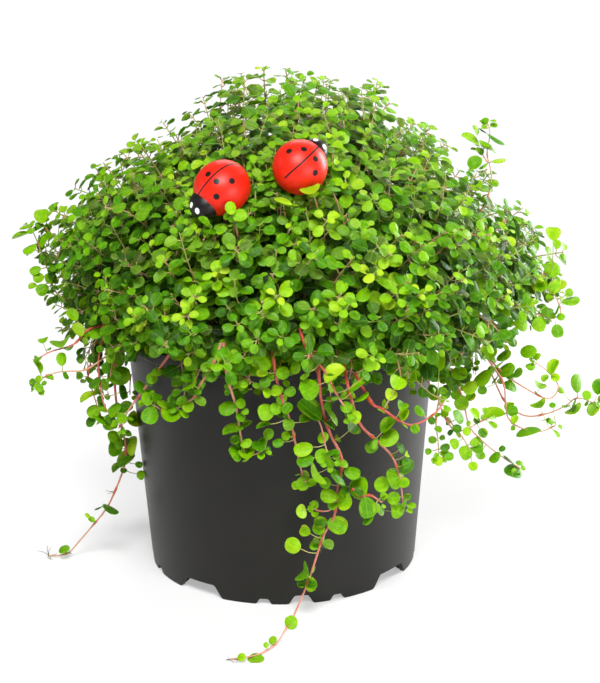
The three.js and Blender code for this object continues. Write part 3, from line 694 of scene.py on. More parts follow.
# Shoots that leave the crown. Each route runs from the crown outwards through the places of its node in the
# frame, and many of its points were worked out from pixels of the photograph at a guessed depth. Leaves that
# the photograph shows are given by their boxes in it (left, right, top, bottom pixel) and grow on the nearest
# point of the stem, side twigs by the pixels they pass. Shoots at the back have leaf pairs at even steps.
shoots = {
    "shoot_front_runner": dict(
        redness=0.8, creeps=True,
        route=[
            (12, -78, 122), (14, -86, 110), (15, -84, 98), (18, -80, 84), (23, -78, 72), (22, -77, 62),
            (21, -76, 55), (20, -75, 46), (16, -74, 38), (13, -73, 28), (10, -72, 18), (6, -73, 8),
            (3, -76, 2.4), (0, -84, 1.2), (-3, -94, 1), (-9, -103, 1), (-16, -107, 1), (-22, -108, 1),
        ],
        leaves=[
            (293, 313, 441, 456), (296, 314, 454, 466), (315, 331, 448, 464), (336, 349, 458, 467),
            (310, 320, 463, 489), (319, 331, 477, 489), (332, 344, 464, 487), (320, 338, 488, 503),
            (344, 361, 466, 479), (349, 367, 476, 500), (338, 353, 492, 511), (295, 306, 504, 519),
            (307, 313, 505, 512), (327, 348, 516, 535), (312, 325, 522, 535), (300, 311, 525, 537),
            (284, 301, 537, 554), (299, 311, 563, 583), (306, 318, 576, 592), (284, 298, 617, 631),
            (268, 277, 636, 644), (263, 269, 642, 648), (237, 246, 653, 661), (247, 265, 654, 662),
            (293, 325, 404, 418), (299, 313, 414, 424), (328, 339, 406, 426), (346, 359, 420, 436),
            (283, 295, 418, 431), (340, 356, 393, 402), (322, 334, 540, 550),
        ],
        twigs=[
            [(316, 416), (321, 426), (326, 448), (332, 464)],
            [(336, 500), (330, 510), (320, 511), (312, 508)],
        ],
    ),
    "shoot_left_runner": dict(
        redness=0.75, creeps=True, radius=0.58,
        route=[
            (-66, -17, 100), (-70, -14, 90), (-70, -13, 73), (-68, -12, 61), (-67, -11, 53),
            (-68, -11, 44), (-74, -10, 29), (-78, -9, 22), (-81, -8, 18), (-89, -6, 8), (-94, -6, 2.4),
            (-99, -6, 1), (-103, -6, 1),
        ],
        leaves=[
            (102, 118, 417, 430), (108, 119, 430, 442), (109, 122, 441, 457), (117, 136, 451, 469),
            (124, 137, 435, 456), (119, 131, 431, 440), (135, 143, 461, 468), (102, 120, 505, 512),
            (85, 91, 513, 518), (88, 95, 517, 523), (127, 137, 411, 428), (136, 145, 470, 480),
            (58, 70, 545, 553),
        ],
        twigs=[[(131, 374), (130, 385), (130, 396)]],
    ),
    "shoot_left_high": dict(
        redness=1.0, radius=0.52,
        route=[
            (-62, -28, 112), (-70, -33, 114), (-78, -36, 113), (-84, -40, 108), (-93, -43, 106),
            (-99, -45, 103),
        ],
        leaves=[
            (51, 73, 338, 349), (38, 49, 338, 344), (71, 84, 323, 337), (66, 78, 308, 322),
            (89, 102, 328, 339),
        ],
    ),
    "shoot_left_drop_inner": dict(
        redness=0.9, radius=0.5,
        route=[
            (-66, -27, 118), (-71, -30, 113), (-75, -32, 98), (-74, -34, 85), (-73, -34, 80),
            (-71, -33, 75),
        ],
        leaves=[
            (107, 131, 365, 385), (107, 121, 402, 414), (118, 134, 402, 415), (120, 134, 330, 344),
            (120, 127, 383, 400), (108, 122, 321, 331),
        ],
        twigs=[[(108, 327), (112, 338), (116, 346), (120, 354)]],
    ),
    "shoot_left_drop_outer": dict(
        redness=0.85, radius=0.45,
        route=[
            (-70, -19, 113), (-76, -22, 105), (-80, -26, 90), (-79, -27, 86), (-77, -27, 78),
            (-75, -26, 70),
        ],
        leaves=[
            (76, 84, 371, 380), (85, 93, 377, 386), (80, 96, 392, 404), (86, 101, 404, 418),
            (97, 104, 395, 402), (99, 106, 403, 409), (92, 114, 416, 421),
        ],
    ),
    "shoot_left_side": dict(
        redness=0.45, radius=0.42,
        route=[
            (-70, -38, 103), (-79, -42, 98), (-85, -44, 98), (-90, -45, 98), (-96, -46, 96),
            (-99, -46, 91),
        ],
        leaves=[(57, 67, 352, 366), (33, 41, 360, 374), (34, 42, 375, 384), (34, 43, 383, 393)],
    ),
    "shoot_left_pot": dict(
        redness=0.7,
        route=[
            (-44, -62, 110), (-48, -60, 104), (-53, -54, 96), (-58, -48, 88), (-63, -44, 80),
            (-67, -41, 72),
        ],
        leaves=[(135, 147, 380, 394), (116, 128, 412, 424), (146, 158, 372, 384), (150, 166, 366, 376)],
    ),
    "shoot_front_left_curl": dict(
        redness=0.5,
        route=[
            (-23, -80, 120), (-25, -84, 115), (-28, -81, 109), (-32, -78, 102), (-34, -76, 97),
            (-39, -73, 93), (-44, -70, 89), (-50, -65, 90), (-55, -60, 91),
        ],
        leaves=[
            (187, 199, 373, 394), (177, 189, 396, 408), (182, 195, 401, 413), (180, 189, 409, 418),
            (194, 206, 397, 407), (160, 182, 408, 423), (141, 159, 406, 424), (141, 155, 392, 406),
            (151, 162, 394, 402), (157, 171, 399, 409),
        ],
    ),
    "shoot_front_left_drop": dict(
        redness=0.6,
        route=[
            (-22, -82, 121), (-21, -86, 111), (-20, -83, 104), (-18, -81, 96), (-17, -79, 88),
            (-16, -78, 80), (-15, -78, 75), (-12, -79, 74), (-7, -81, 77),
        ],
        leaves=[
            (218, 237, 400, 415), (236, 246, 398, 409), (241, 249, 408, 415), (236, 246, 411, 422),
            (222, 244, 426, 437), (230, 241, 435, 445), (230, 243, 445, 461), (240, 252, 438, 448),
            (238, 256, 449, 459), (252, 268, 439, 452), (263, 274, 428, 440), (239, 244, 371, 382),
            (233, 243, 382, 390),
        ],
        twigs=[[(262, 389), (254, 383), (246, 379), (242, 377)]],
    ),
    "shoot_front_middle": dict(
        redness=0.85,
        route=[
            (-4, -84, 124), (-3, -89, 116), (-2, -87, 108), (0, -85, 99), (3, -82, 89), (5, -80, 79),
            (7, -78, 68), (9, -77, 60),
        ],
        leaves=[
            (258, 275, 403, 421), (256, 271, 423, 430), (272, 284, 438, 447), (281, 290, 431, 441),
            (256, 268, 368, 378), (259, 271, 377, 388), (263, 272, 387, 398), (271, 282, 385, 397),
            (258, 273, 353, 371), (282, 293, 402, 415), (270, 283, 402, 415), (301, 310, 470, 481),
            (295, 309, 476, 491), (284, 296, 386, 397), (276, 290, 366, 380),
        ],
    ),
    "shoot_front_tuft": dict(
        redness=0.9,
        route=[
            (7, -86, 127), (10, -94, 121), (16, -97, 114), (19, -95, 107), (22, -93, 101), (26, -91, 94),
        ],
        leaves=[
            (300, 320, 378, 400), (300, 309, 371, 380), (322, 348, 368, 381), (348, 368, 385, 391),
            (353, 370, 394, 399), (340, 352, 401, 413), (348, 361, 410, 424), (362, 371, 370, 381),
        ],
    ),
    "shoot_front_right_drop": dict(
        redness=0.85,
        route=[
            (24, -78, 110), (26, -87, 101), (30, -84, 88), (37, -79, 79), (43, -75, 71), (46, -73, 62),
            (47, -72, 55), (48, -71, 47),
        ],
        leaves=[
            (379, 397, 419, 432), (380, 397, 427, 448), (397, 406, 442, 454), (404, 409, 451, 458),
            (402, 412, 457, 469), (387, 405, 467, 489), (373, 389, 476, 493), (386, 400, 491, 505),
            (391, 405, 502, 519), (377, 384, 505, 516),
        ],
    ),
    "shoot_front_right_branch": dict(
        redness=0.9,
        route=[(27, -80, 60), (30, -81, 57), (34, -80, 57), (39, -78, 53)],
        leaves=[(357, 376, 497, 519), (362, 374, 508, 525)],
    ),
    "shoot_front_right_red": dict(
        redness=1.0,
        route=[
            (28, -82, 108), (34, -91, 99), (38, -89, 96), (44, -84, 90), (49, -80, 86), (54, -77, 86),
            (60, -72, 88), (64, -69, 92),
        ],
        leaves=[
            (388, 406, 376, 391), (369, 390, 350, 366), (409, 418, 373, 384), (384, 397, 389, 401),
            (396, 408, 401, 411), (399, 410, 408, 421), (414, 426, 405, 416), (410, 420, 424, 434),
        ],
    ),
    "shoot_right_thread": dict(
        redness=0.5, radius=0.42,
        route=[(62, -57, 90), (64, -61, 84), (68, -64, 78), (73, -64, 78), (78, -64, 81), (83, -64, 83)],
        leaves=[
            (453, 465, 409, 424), (469, 479, 408, 420), (459, 473, 445, 460), (432, 447, 352, 371),
            (434, 442, 426, 433), (425, 432, 448, 455), (440, 450, 443, 451), (434, 443, 456, 466),
            (450, 460, 438, 449), (441, 449, 409, 418), (428, 437, 436, 444), (462, 471, 427, 436),
            (452, 462, 424, 433), (444, 454, 452, 461), (478, 488, 428, 438), (468, 478, 462, 471),
        ],
        twigs=[[(440, 398), (437, 410), (436, 425), (438, 440), (439, 458)],
            [(448, 418), (455, 428), (463, 438), (470, 450)],
        ],
    ),
    "shoot_right_low": dict(
        redness=0.6, radius=0.46,
        route=[
            (84, -38, 99), (90, -41, 90), (91, -43, 83), (92, -45, 76), (97, -46, 72), (105, -48, 71),
            (111, -49, 74),
        ],
        leaves=[
            (484, 505, 409, 421), (507, 519, 405, 417), (511, 519, 415, 424), (515, 541, 426, 435),
            (472, 492, 370, 385), (462, 478, 380, 394), (477, 487, 385, 395), (482, 497, 345, 360),
            (531, 547, 401, 410), (549, 556, 402, 408),
        ],
    ),
    "shoot_right_loop": dict(
        redness=0.62, radius=0.44,
        route=[
            (84, -26, 98), (91, -28, 90), (97, -30, 86), (106, -32, 81), (111, -33, 80), (114, -33, 85),
            (110, -32, 91), (103, -31, 96),
        ],
        leaves=[
            (548, 560, 359, 375), (551, 560, 373, 382), (495, 516, 364, 375), (513, 522, 367, 378),
            (497, 510, 348, 362), (520, 537, 344, 358), (503, 518, 380, 391), (533, 546, 382, 390),
        ],
    ),
    "shoot_right_far": dict(
        redness=0.55, radius=0.46,
        route=[
            (88, -18, 86), (94, -20, 74), (102, -23, 69), (111, -26, 71), (118, -28, 75), (122, -30, 79),
            (127, -31, 78), (132, -32, 76),
        ],
        leaves=[
            (571, 584, 373, 393), (582, 592, 390, 400), (566, 583, 405, 417), (594, 606, 378, 395),
            (586, 602, 405, 415), (556, 566, 388, 392),
        ],
    ),
    "shoot_right_upper": dict(
        redness=0.65, radius=0.4,
        route=[
            (96, -18, 117), (104, -22, 114), (111, -25, 112), (115, -25, 114), (114, -25, 119),
            (111, -25, 124),
        ],
        leaves=[
            (548, 561, 280, 295), (535, 547, 279, 293), (565, 574, 288, 297), (562, 580, 295, 305),
            (519, 535, 297, 312), (541, 555, 307, 318), (532, 547, 316, 332), (514, 529, 317, 331),
            (557, 565, 313, 321), (551, 564, 324, 338), (544, 561, 261, 277), (545, 561, 227, 241),
            (495, 512, 305, 320),
        ],
    ),
    "shoot_right_tail": dict(
        redness=0.5, radius=0.42,
        route=[
            (68, -33, 96), (74, -35, 82), (77, -36, 70), (81, -38, 65), (87, -40, 60), (93, -42, 56),
            (98, -43, 53),
        ],
        leaves=[
            (445, 461, 372, 391), (450, 460, 390, 400), (453, 469, 395, 411), (489, 500, 451, 463),
            (427, 440, 388, 401), (440, 452, 386, 399), (440, 450, 320, 334), (430, 443, 338, 350),
            (474, 485, 450, 460), (504, 523, 464, 477), (470, 480, 436, 446), (451, 468, 366, 380),
        ],
    ),
    "shoot_upright": dict(
        redness=0.5, radius=0.34,
        route=[(84, 6, 148), (88, 6, 158), (89, 6, 166), (87, 6, 175), (88, 6, 183), (87, 6, 188)],
        leaves=[
            (473, 480, 124, 135), (460, 479, 134, 147), (479, 492, 139, 147), (486, 507, 136, 142),
            (468, 482, 155, 171), (475, 480, 147, 153), (491, 506, 157, 163), (469, 483, 181, 192),
        ],
        twigs=[[(487, 169), (481, 175), (475, 178), (469, 180)], [(488, 163), (483, 155), (479, 146)]],
    ),
    "shoot_left_tip": dict(
        redness=0.25, radius=0.38,
        route=[
            (-90, -5, 116), (-95, -6, 122), (-97, -6, 130), (-99, -6, 136), (-101, -6, 143),
            (-104, -6, 150),
        ],
        leaves=[
            (34, 50, 209, 224), (35, 41, 222, 228), (47, 60, 221, 227), (57, 62, 219, 223),
            (63, 73, 223, 229), (11, 30, 234, 239), (19, 31, 227, 231), (22, 37, 243, 254),
            (40, 53, 232, 249), (29, 41, 265, 275), (33, 44, 272, 283), (44, 53, 273, 284),
            (36, 49, 283, 296), (28, 37, 283, 290), (46, 53, 258, 262), (49, 58, 263, 272),
        ],
        twigs=[
            [(66, 236), (58, 236), (50, 233), (43, 224)], [(62, 240), (60, 250), (56, 260), (53, 269)],
        ],
    ),
    "shoot_back_left": dict(
        redness=0.6, size=6.5, step=8,
        route=[
            (-44, 74, 112), (-52, 80, 104), (-58, 80, 92), (-60, 76, 80), (-58, 72, 66), (-54, 72, 56),
        ],
    ),
    "shoot_back_middle": dict(
        redness=0.8, size=6.5, step=9,
        route=[
            (-6, 88, 116), (-8, 95, 104), (-4, 93, 90), (2, 88, 76), (4, 84, 62), (2, 82, 50),
            (-3, 82, 42),
        ],
    ),
    "shoot_back_right": dict(
        redness=0.5, size=6.5, step=8,
        route=[(40, 76, 112), (46, 82, 103), (52, 82, 90), (52, 78, 78), (56, 74, 68), (62, 74, 62)],
    ),
    "shoot_back_long": dict(
        redness=0.75, creeps=True, size=6.5, step=11,
        route=[
            (20, 88, 110), (24, 93, 98), (26, 90, 82), (24, 85, 66), (22, 81, 50), (24, 78, 34),
            (27, 77, 18), (29, 79, 7), (32, 84, 2), (37, 91, 1), (43, 97, 1), (50, 101, 1),
        ],
    ),
}
shootStem = dict(
    radius=0.62, tipShare=0.5, jointRadius=1.7, jointStep=15.0, sides=8, spacing=1.4,
    tipPairs=[(0.2, 2.6), (2.4, 3.8)], twigRadius=0.36, rootlets=0.3,
)


def smoothRoute(route, spacing):  # a smooth curve through the points, cut into short even steps
    points = [Vector(spot) for spot in route]
    points = [points[0] * 2 - points[1]] + points + [points[-1] * 2 - points[-2]]
    fine = []
    for a, b, c, d in zip(points, points[1:], points[2:], points[3:]):
        for i in range(12):
            t = i / 12
            fine.append(0.5 * (
                b * 2 + (c - a) * t + (a * 2 - b * 5 + c * 4 - d) * t * t + (b * 3 - a - c * 3 + d) * t ** 3
            ))
    fine.append(points[-2])
    even, walked = [fine[0]], 0.0
    for before, after in zip(fine, fine[1:]):
        walked += (after - before).length
        if walked >= spacing:
            even.append(after)
            walked = 0.0
    if (even[-1] - fine[-1]).length > 0.3:
        even.append(fine[-1])
    return even


def addShootStem(plant, path, redness, radius):
    count = len(path)
    radii, tones = [], []
    for i in range(count):
        along = i / (count - 1)
        fromJoint = abs((i * shootStem["spacing"]) % shootStem["jointStep"] - shootStem["jointStep"] / 2)
        swelling = max(0.0, 1 - fromJoint / 1.6)
        taper = 1 - (1 - shootStem["tipShare"]) * along
        radii.append(radius * taper * (1 + (shootStem["jointRadius"] - 1) * swelling))
        tones.append((redness * (1 - 0.4 * along) + 0.25 * swelling, 0.7 * swelling, 0))
    radii[-1] = 0.1
    addStem(plant, path, radii, tones, shootStem["sides"])


def growTip(plant, path):  # the small young leaf pairs that end every stem
    for back, size in shootStem["tipPairs"]:
        joint, stemAim = alongPath(path, back)
        out = Quaternion(stemAim, draw.uniform(0, math.pi)) @ stemAim.orthogonal().normalized()
        for side in (1, -1):
            if joint.z > 3:
                grown = size * draw.uniform(0.85, 1.15)
                growLeaf(plant, joint, stemAim, out * side, grown, leafTone(0.7), 0.2)


def growRootlets(plant, start, count, reach):  # fine dark roots at a joint or at a creeping tip
    for _ in range(count):
        way = (jitter(1.0) - up * 0.4).normalized() * reach * draw.uniform(0.6, 1.2)
        end = start + way
        end.z = max(end.z, 0.3)
        bend = start.lerp(end, 0.5) + jitter(reach * 0.15)
        bend.z = max(bend.z, 0.4)
        radii = (0.16, 0.15, 0.14, 0.12, 0.1, 0.06)
        addStem(plant, bezier(start, bend, bend, end, len(radii)), radii, ((0.1, 0, 0.75),) * len(radii), 3)


def growStalk(plant, start, end, redness, radius):
    middle = (start + end) / 2 - up * (end - start).length * 0.12
    tone = (redness * 0.35, 0, 0)
    radii = [radius * share for share in (1, 1, 0.9, 0.8, 0.7)]
    addStem(plant, bezier(start, middle, middle, end, 5), radii, (tone,) * 5, 4)


def growPhotoLeaf(plant, stems, box, redness):
    left, rightEdge, upper, lower = box
    x, y = (left + rightEdge) / 2, (upper + lower) / 2
    spots = (spot for stem in stems for spot in stem)
    nearest = min(spots, key=lambda spot: math.dist(pixelOf(spot), (x, y)))
    depth = (nearest - eye).dot(ahead) - draw.uniform(0.5, 2.5)
    centre = behindPixel(x, y, depth)
    scale = depth / pixelsPerSlope
    wide, high = (rightEdge - left) * scale, (lower - upper) * scale
    away = centre - nearest
    away -= ahead * away.dot(ahead)
    if away.length < 0.6:
        away = top + right * draw.uniform(-0.5, 0.5)
    away.normalize()
    turn = math.atan2(away.dot(top), away.dot(right))
    spread = math.cos(2 * turn)
    total = wide ** 2 + high ** 2
    if abs(spread) > 0.3:
        difference = (wide ** 2 - high ** 2) / spread
    else:  # a box says nothing about the width of a leaf that lies along its diagonal
        difference = total * draw.uniform(0.1, 0.6)
    limit = 0.86 * total
    difference = min(max(difference, -limit), limit)
    shownLength = math.sqrt((total + difference) / 2)
    shownWidth = math.sqrt((total - difference) / 2)
    ratio = crown["leafRatio"]
    facing = -ahead
    side = facing.cross(away)
    if shownWidth < ratio * shownLength:
        length, width = shownLength, ratio * shownLength
        lean = math.acos(shownWidth / width)
        leant = [Quaternion(away, sign * lean) @ facing for sign in (1, -1)]
        facing = max(leant, key=lambda normal: normal.z)
    else:
        width, length = shownWidth, shownWidth / ratio
        lean = math.acos(min(shownLength / length, 1.0))
        turns = [Quaternion(side, sign * lean) for sign in (1, -1)]
        best = max(turns, key=lambda each: (each @ facing).z)
        facing, away = best @ facing, best @ away
    base = centre - away * length * 0.5
    if base.z < 0.6:
        base.z = 0.6
    growStalk(plant, nearest, base + away * 0.4, redness * 0.6, 0.22)
    tone = leafTone(draw.gauss(0.68, 0.12), max(draw.gauss(-0.05, 0.1), 0))
    form = draw.choices(formNames, (5, 3, 1))[0]
    addBlade(plant, base, away, facing, length, width, tone, form)
    partnerSize = length * draw.uniform(0.5, 0.75)
    if partnerSize > 2.4:  # its smaller partner sits on the other side of the same joint, partly behind
        partner = Quaternion(ahead, draw.uniform(1.6, 3.6)) @ away + ahead * draw.uniform(0.0, 0.7)
        tilted = (facing + jitter(0.35)).normalized()
        start = nearest.lerp(base, 0.4) + partner * 0.8
        if start.z > 2:
            # the partner leaf is painted darker: painted shade, as it sits partly behind
            shadedPartnerTone = leafTone(tone[0] - draw.uniform(0.05, 0.25), tone[1])
            addBlade(plant, start, partner, tilted, partnerSize, partnerSize * ratio, shadedPartnerTone, form)


def growPairs(plant, path, size, step, redness):
    lengthSoFar, pair = 0.0, 0
    for i in range(len(path) - 1, 0, -1):
        lengthSoFar += (path[i] - path[i - 1]).length
        if lengthSoFar < pair * step + 1:
            continue
        stemAim = (path[i] - path[i - 1]).normalized()
        outward = Vector((path[i].x, path[i].y, 0)).normalized()
        first = outward.cross(stemAim).normalized()
        out = Quaternion(stemAim, (pair % 2) * math.pi / 2 + draw.uniform(-0.4, 0.4)) @ first
        grown = size * min(1.0, 0.45 + 0.2 * pair)
        for side in (1, -1):
            tone = leafTone(draw.gauss(0.66, 0.08))
            if path[i].z > 3 or (out * side).z > -0.3:
                varied = grown * draw.uniform(0.85, 1.15)
                growLeaf(plant, path[i], stemAim, out * side, varied, tone, redness)
        pair += 1


def growShoot(
    name, redness, route, leaves=(), twigs=(), size=0, step=0, radius=shootStem["radius"], creeps=False,
):
    plant = newPlant("near")
    path = smoothRoute(route, shootStem["spacing"])
    addShootStem(plant, path, redness, radius)
    stems = [path]
    for pixels in twigs:
        nearest = min(path, key=lambda spot: math.dist(pixelOf(spot), pixels[0]))
        depth = (nearest - eye).dot(ahead)
        twig = smoothRoute([behindPixel(x, y, depth) for x, y in pixels], shootStem["spacing"])
        addShootStem(plant, twig, redness * 0.8, shootStem["twigRadius"])
        stems.append(twig)
    for box in leaves:
        growPhotoLeaf(plant, stems, box, redness)
    if size:
        growPairs(plant, path, size, step, redness)
    for stem in stems:
        growTip(plant, stem)
    if creeps:
        growRootlets(plant, path[-1], 6, 6.0)
    jointEvery = round(shootStem["jointStep"] / shootStem["spacing"])
    for joint in path[jointEvery // 2::jointEvery]:
        if draw.random() < shootStem["rootlets"]:
            growRootlets(plant, joint, 2, 3.5)
    buildPlant(name + "_sprig", plant, name)


for name, spec in shoots.items():
    growShoot(name, **spec)
print("stage: shoots grown,", len(shoots))


# Sprigs whose leaves lie over the ladybirds' lower edges. A stem is given by pixels and by how much farther
# than the ladybird's middle each lies, in mm, and its leaves by their boxes.
covers = [
    dict(
        beside="ladybird_left", stem=[(238, 246, 4), (237, 232, -3), (235, 222, -7), (232, 212, -8)],
        leaves=[(225, 237, 201, 215), (232, 248, 209, 223), (236, 246, 219, 229)],
    ),
    dict(
        beside="ladybird_left", stem=[(215, 248, 4), (214, 240, -1), (212, 233, -5), (210, 227, -7)],
        leaves=[(198, 209, 216, 228), (203, 217, 227, 234), (217, 227, 225, 233)],
    ),
    dict(
        beside="ladybird_right", stem=[(319, 218, 4), (317, 207, -3), (315, 199, -7), (312, 193, -8)],
        leaves=[(300, 322, 186, 197)],
    ),
    dict(
        beside="ladybird_right", stem=[(340, 214, 4), (338, 205, -1), (335, 197, -4), (332, 190, -5)],
        leaves=[(323, 342, 185, 192)],
    ),
    dict(
        beside="ladybird_right", stem=[(286, 224, 4), (285, 216, -1), (284, 209, -5), (283, 202, -7)],
        leaves=[(274, 293, 195, 205)],
    ),
]


def growCover(beside, stem, leaves):
    depth = (Vector(ladybirds[beside]["centre"]) - eye).dot(ahead)
    path = smoothRoute([behindPixel(x, y, depth + more) for x, y, more in stem], shootStem["spacing"])
    _, owner = surfaceAlong((path[0] - crownCentre).normalized())
    addShootStem(plants[owner], path, 0.3, 0.4)
    for box in leaves:
        growPhotoLeaf(plants[owner], [path], box, 0.3)


for spec in covers:
    growCover(**spec)
for name, plant in plants.items():
    buildPlant(name + "_foliage", plant, name)
print("stage: tufts built,", len(plants))


# The ladybirds' wood and paint. Gloss paint on turned birch: a smooth bright coat with a clear highlight,
# a little uneven where the brush went, with the pattern painted on by hand.
paint = dict(
    red="#d41f08", deepRed="#b01407", black="#120e0d", white="#f2f0ea", roughness=0.4,
    brush=3.0,  # in mm
)
ladybirdArt = {  # pixels of the photograph where the painted marks show
    "ladybird_left": dict(
        seam=[(198, 197), (201, 190), (206, 183.5), (213.7, 175), (221, 169), (229, 164.8), (238, 164.2)],
        spots=[(208, 174), (216.4, 181.4), (232, 181), (216.4, 196.7)],
        eyes=[(191, 205), (197, 211)], fuller=0.4, headReach=6.6, headWidth=6.4, headAside=-1.3,
    ),
    "ladybird_right": dict(
        seam=[(319.3, 146.7), (311, 154), (302.6, 162), (294, 169.7), (286, 177)],
        spots=[(289, 151), (304, 149), (315.7, 158.7), (325, 162.5), (315.4, 172.8)],
        eyes=[(315.7, 139.6), (324.6, 146.5)], fuller=0.0, headReach=5.9, headWidth=5.3, headAside=0.0,
    ),
}
spotSize = dict(radius=1.2, seamHalfWidth=0.34, eye=(0.95, 1.45), soft=0.12, curveSpan=30)


def onDome(inward, pixel, middle, reach):  # where the line of sight through a pixel meets a painted dome
    start = inward @ eye - Vector(middle)
    step = inward.to_3x3() @ (behindPixel(*pixel, 1.0) - eye)
    start = Vector(a / b for a, b in zip(start, reach))
    step = Vector(a / b for a, b in zip(step, reach))
    half = start.dot(step) / step.dot(step)
    inside = half * half - (start.dot(start) - 1) / step.dot(step)
    met = start + step * (-half - math.sqrt(max(inside, 0)))
    return Vector(a * b + c for a, b, c in zip(met, reach, middle))


def paintedDomes(art):  # reach and middle of the painted body and head
    full = art["fuller"]
    body = (ladybird["halfLength"] + full, ladybird["halfWidth"] + full, ladybird["height"] + full)
    head = (art["headReach"], art["headWidth"], ladybird["headHeight"])
    return body, head, (ladybird["halfLength"] + full - ladybird["headOverlap"], art["headAside"], 0)


def hiddenFromFront(inward, spot, reach):  # on the side of the dome that the photograph doesn't show
    outwards = Vector(a / (b * b) for a, b in zip(spot, reach)).normalized()
    return outwards.dot((inward @ eye - spot).normalized()) < 0.05


def paintedShader(tree, mask, under, over):
    everywhere = addNode(tree, "TexCoord").outputs["Object"]
    brush = addNode(tree, "TexNoise", {"Vector": everywhere, "Scale": metre / paint["brush"], "Detail": 3.0})
    share = addNode(tree, "MapRange", {"Value": brush, "From Min": 0.35, "From Max": 0.75, "To Max": 0.5})
    uneven = addNode(tree, "Mix", {0: share, 6: fromHex(under[0]), 7: fromHex(under[1])}, data_type="RGBA")
    colour = addNode(tree, "Mix", {0: mask, 6: uneven, 7: fromHex(over)}, data_type="RGBA")
    relief = addNode(tree, "Bump", {"Strength": 0.12, "Distance": 0.2 / metre, "Height": brush})
    coat = addNode(tree, "BsdfPrincipled", {
        "Base Color": colour, "Normal": relief, "Roughness": paint["roughness"], "IOR": 1.5,
        "Specular IOR Level": 0.27,
    })
    addNode(tree, "OutputMaterial", {"Surface": coat})


def makeBodyPaint(name, inward, bodyReach, seam, spots):
    material, tree = newMaterial(name + "_glossPaint")
    local = addNode(tree, "Attribute", attribute_name="localPlace").outputs["Vector"]
    marks = [onDome(inward, pixel, (0, 0, 0), bodyReach) for pixel in spots]
    for mark in marks[:]:
        other = Vector((mark.x, -mark.y, mark.z))
        if hiddenFromFront(inward, other, bodyReach):
            marks.append(other)
    line = sorted((onDome(inward, pixel, (0, 0, 0), bodyReach) for pixel in seam), key=lambda spot: spot.x)
    seamEnd = line[0].x
    span = spotSize["curveSpan"]  # the seam's curve runs from 0 to 1 over so many mm
    line = [(spot.x / span + 0.5, spot.y / span + 0.5) for spot in line]
    axes = addNode(tree, "SeparateXYZ", {"Vector": local})
    along = addNode(tree, "Math", {0: axes.outputs["X"], 1: 1 / span, 2: 0.5}, operation="MULTIPLY_ADD")
    bend = addNode(tree, "FloatCurve", {"Value": along})
    curve = bend.mapping.curves[0]
    for i, spot in enumerate([(0.0, line[0][1])] + line + [(1.0, line[-1][1])]):
        point = curve.points[i] if i < 2 else curve.points.new(*spot)
        point.location = spot
    bend.mapping.update()
    middle = addNode(tree, "Math", {0: bend, 1: span, 2: -span / 2}, operation="MULTIPLY_ADD")
    off = addNode(tree, "Math", {0: axes.outputs["Y"], 1: middle}, operation="SUBTRACT")
    beside = addNode(tree, "Math", {0: off}, operation="ABSOLUTE")
    past = addNode(tree, "Math", {0: seamEnd, 1: axes.outputs["X"]}, operation="SUBTRACT")
    nearness = addNode(tree, "Math", {0: beside, 1: past}, operation="MAXIMUM")
    wider = spotSize["radius"] - spotSize["seamHalfWidth"]
    nearness = addNode(tree, "Math", {0: nearness, 1: wider}, operation="ADD")
    for mark in marks:
        gap = addNode(tree, "VectorMath", {0: local, 1: mark}, operation="DISTANCE")
        nearness = addNode(tree, "Math", {0: nearness, 1: gap.outputs["Value"]}, operation="MINIMUM")
    mask = addNode(tree, "MapRange", {
        "Value": nearness, "From Min": spotSize["radius"] + spotSize["soft"],
        "From Max": spotSize["radius"] - spotSize["soft"],
    })
    paintedShader(tree, mask, (paint["red"], paint["deepRed"]), paint["black"])
    return material


def makeHeadPaint(name, inward, headMiddle, headReach, eyes):
    material, tree = newMaterial(name + "_blackGlossPaint")
    local = addNode(tree, "Attribute", attribute_name="localPlace").outputs["Vector"]
    nearness = 9.0
    for pixel in eyes:
        mark = onDome(inward, pixel, headMiddle, headReach)
        away = addNode(tree, "VectorMath", {0: local, 1: mark}, operation="SUBTRACT")
        wide, tall = spotSize["eye"]
        squeezed = addNode(
            tree, "VectorMath", {0: away, 1: (1 / wide, 1 / wide, 1 / tall)}, operation="MULTIPLY"
        )
        gap = addNode(tree, "VectorMath", {0: squeezed}, operation="LENGTH")
        nearness = addNode(tree, "Math", {0: nearness, 1: gap.outputs["Value"]}, operation="MINIMUM")
    mask = addNode(tree, "MapRange", {"Value": nearness, "From Min": 1.1, "From Max": 0.95})
    paintedShader(tree, mask, (paint["black"], "#1d1817"), paint["white"])
    return material


def modelEgg(name, segments, rings, reach, middle, under, cutBody):
    # a sphere scaled to an egg, its underside cut flat and the cut closed
    bpy.ops.object.select_all(action="DESELECT")
    bpy.ops.mesh.primitive_uv_sphere_add(segments=segments, ring_count=rings, radius=1.0)
    dome = bpy.context.object
    dome.name = name
    bpy.ops.object.mode_set(mode="EDIT")
    bpy.ops.mesh.select_all(action="SELECT")
    bpy.ops.transform.resize(value=reach)
    bpy.ops.transform.translate(value=middle)
    bpy.ops.mesh.bisect(plane_co=(0, 0, -under), plane_no=(0, 0, 1), clear_inner=True, use_fill=True)
    if cutBody:  # the head ends at the body
        bpy.ops.mesh.select_all(action="SELECT")
        bpy.ops.mesh.bisect(plane_co=(cutBody, 0, 0), plane_no=(1, 0, 0), clear_inner=True, use_fill=True)
    bpy.ops.mesh.select_all(action="SELECT")
    bpy.ops.mesh.normals_make_consistent(inside=False)
    bpy.ops.object.mode_set(mode="OBJECT")
    bevel = dome.modifiers.new("roundedEdge", "BEVEL")
    bevel.width = 0.5
    bevel.segments = 3
    bevel.limit_method = "ANGLE"
    bevel.angle_limit = math.radians(50)
    bpy.ops.object.modifier_apply(modifier="roundedEdge")
    bpy.ops.object.shade_smooth_by_angle(angle=math.radians(45))
    return dome


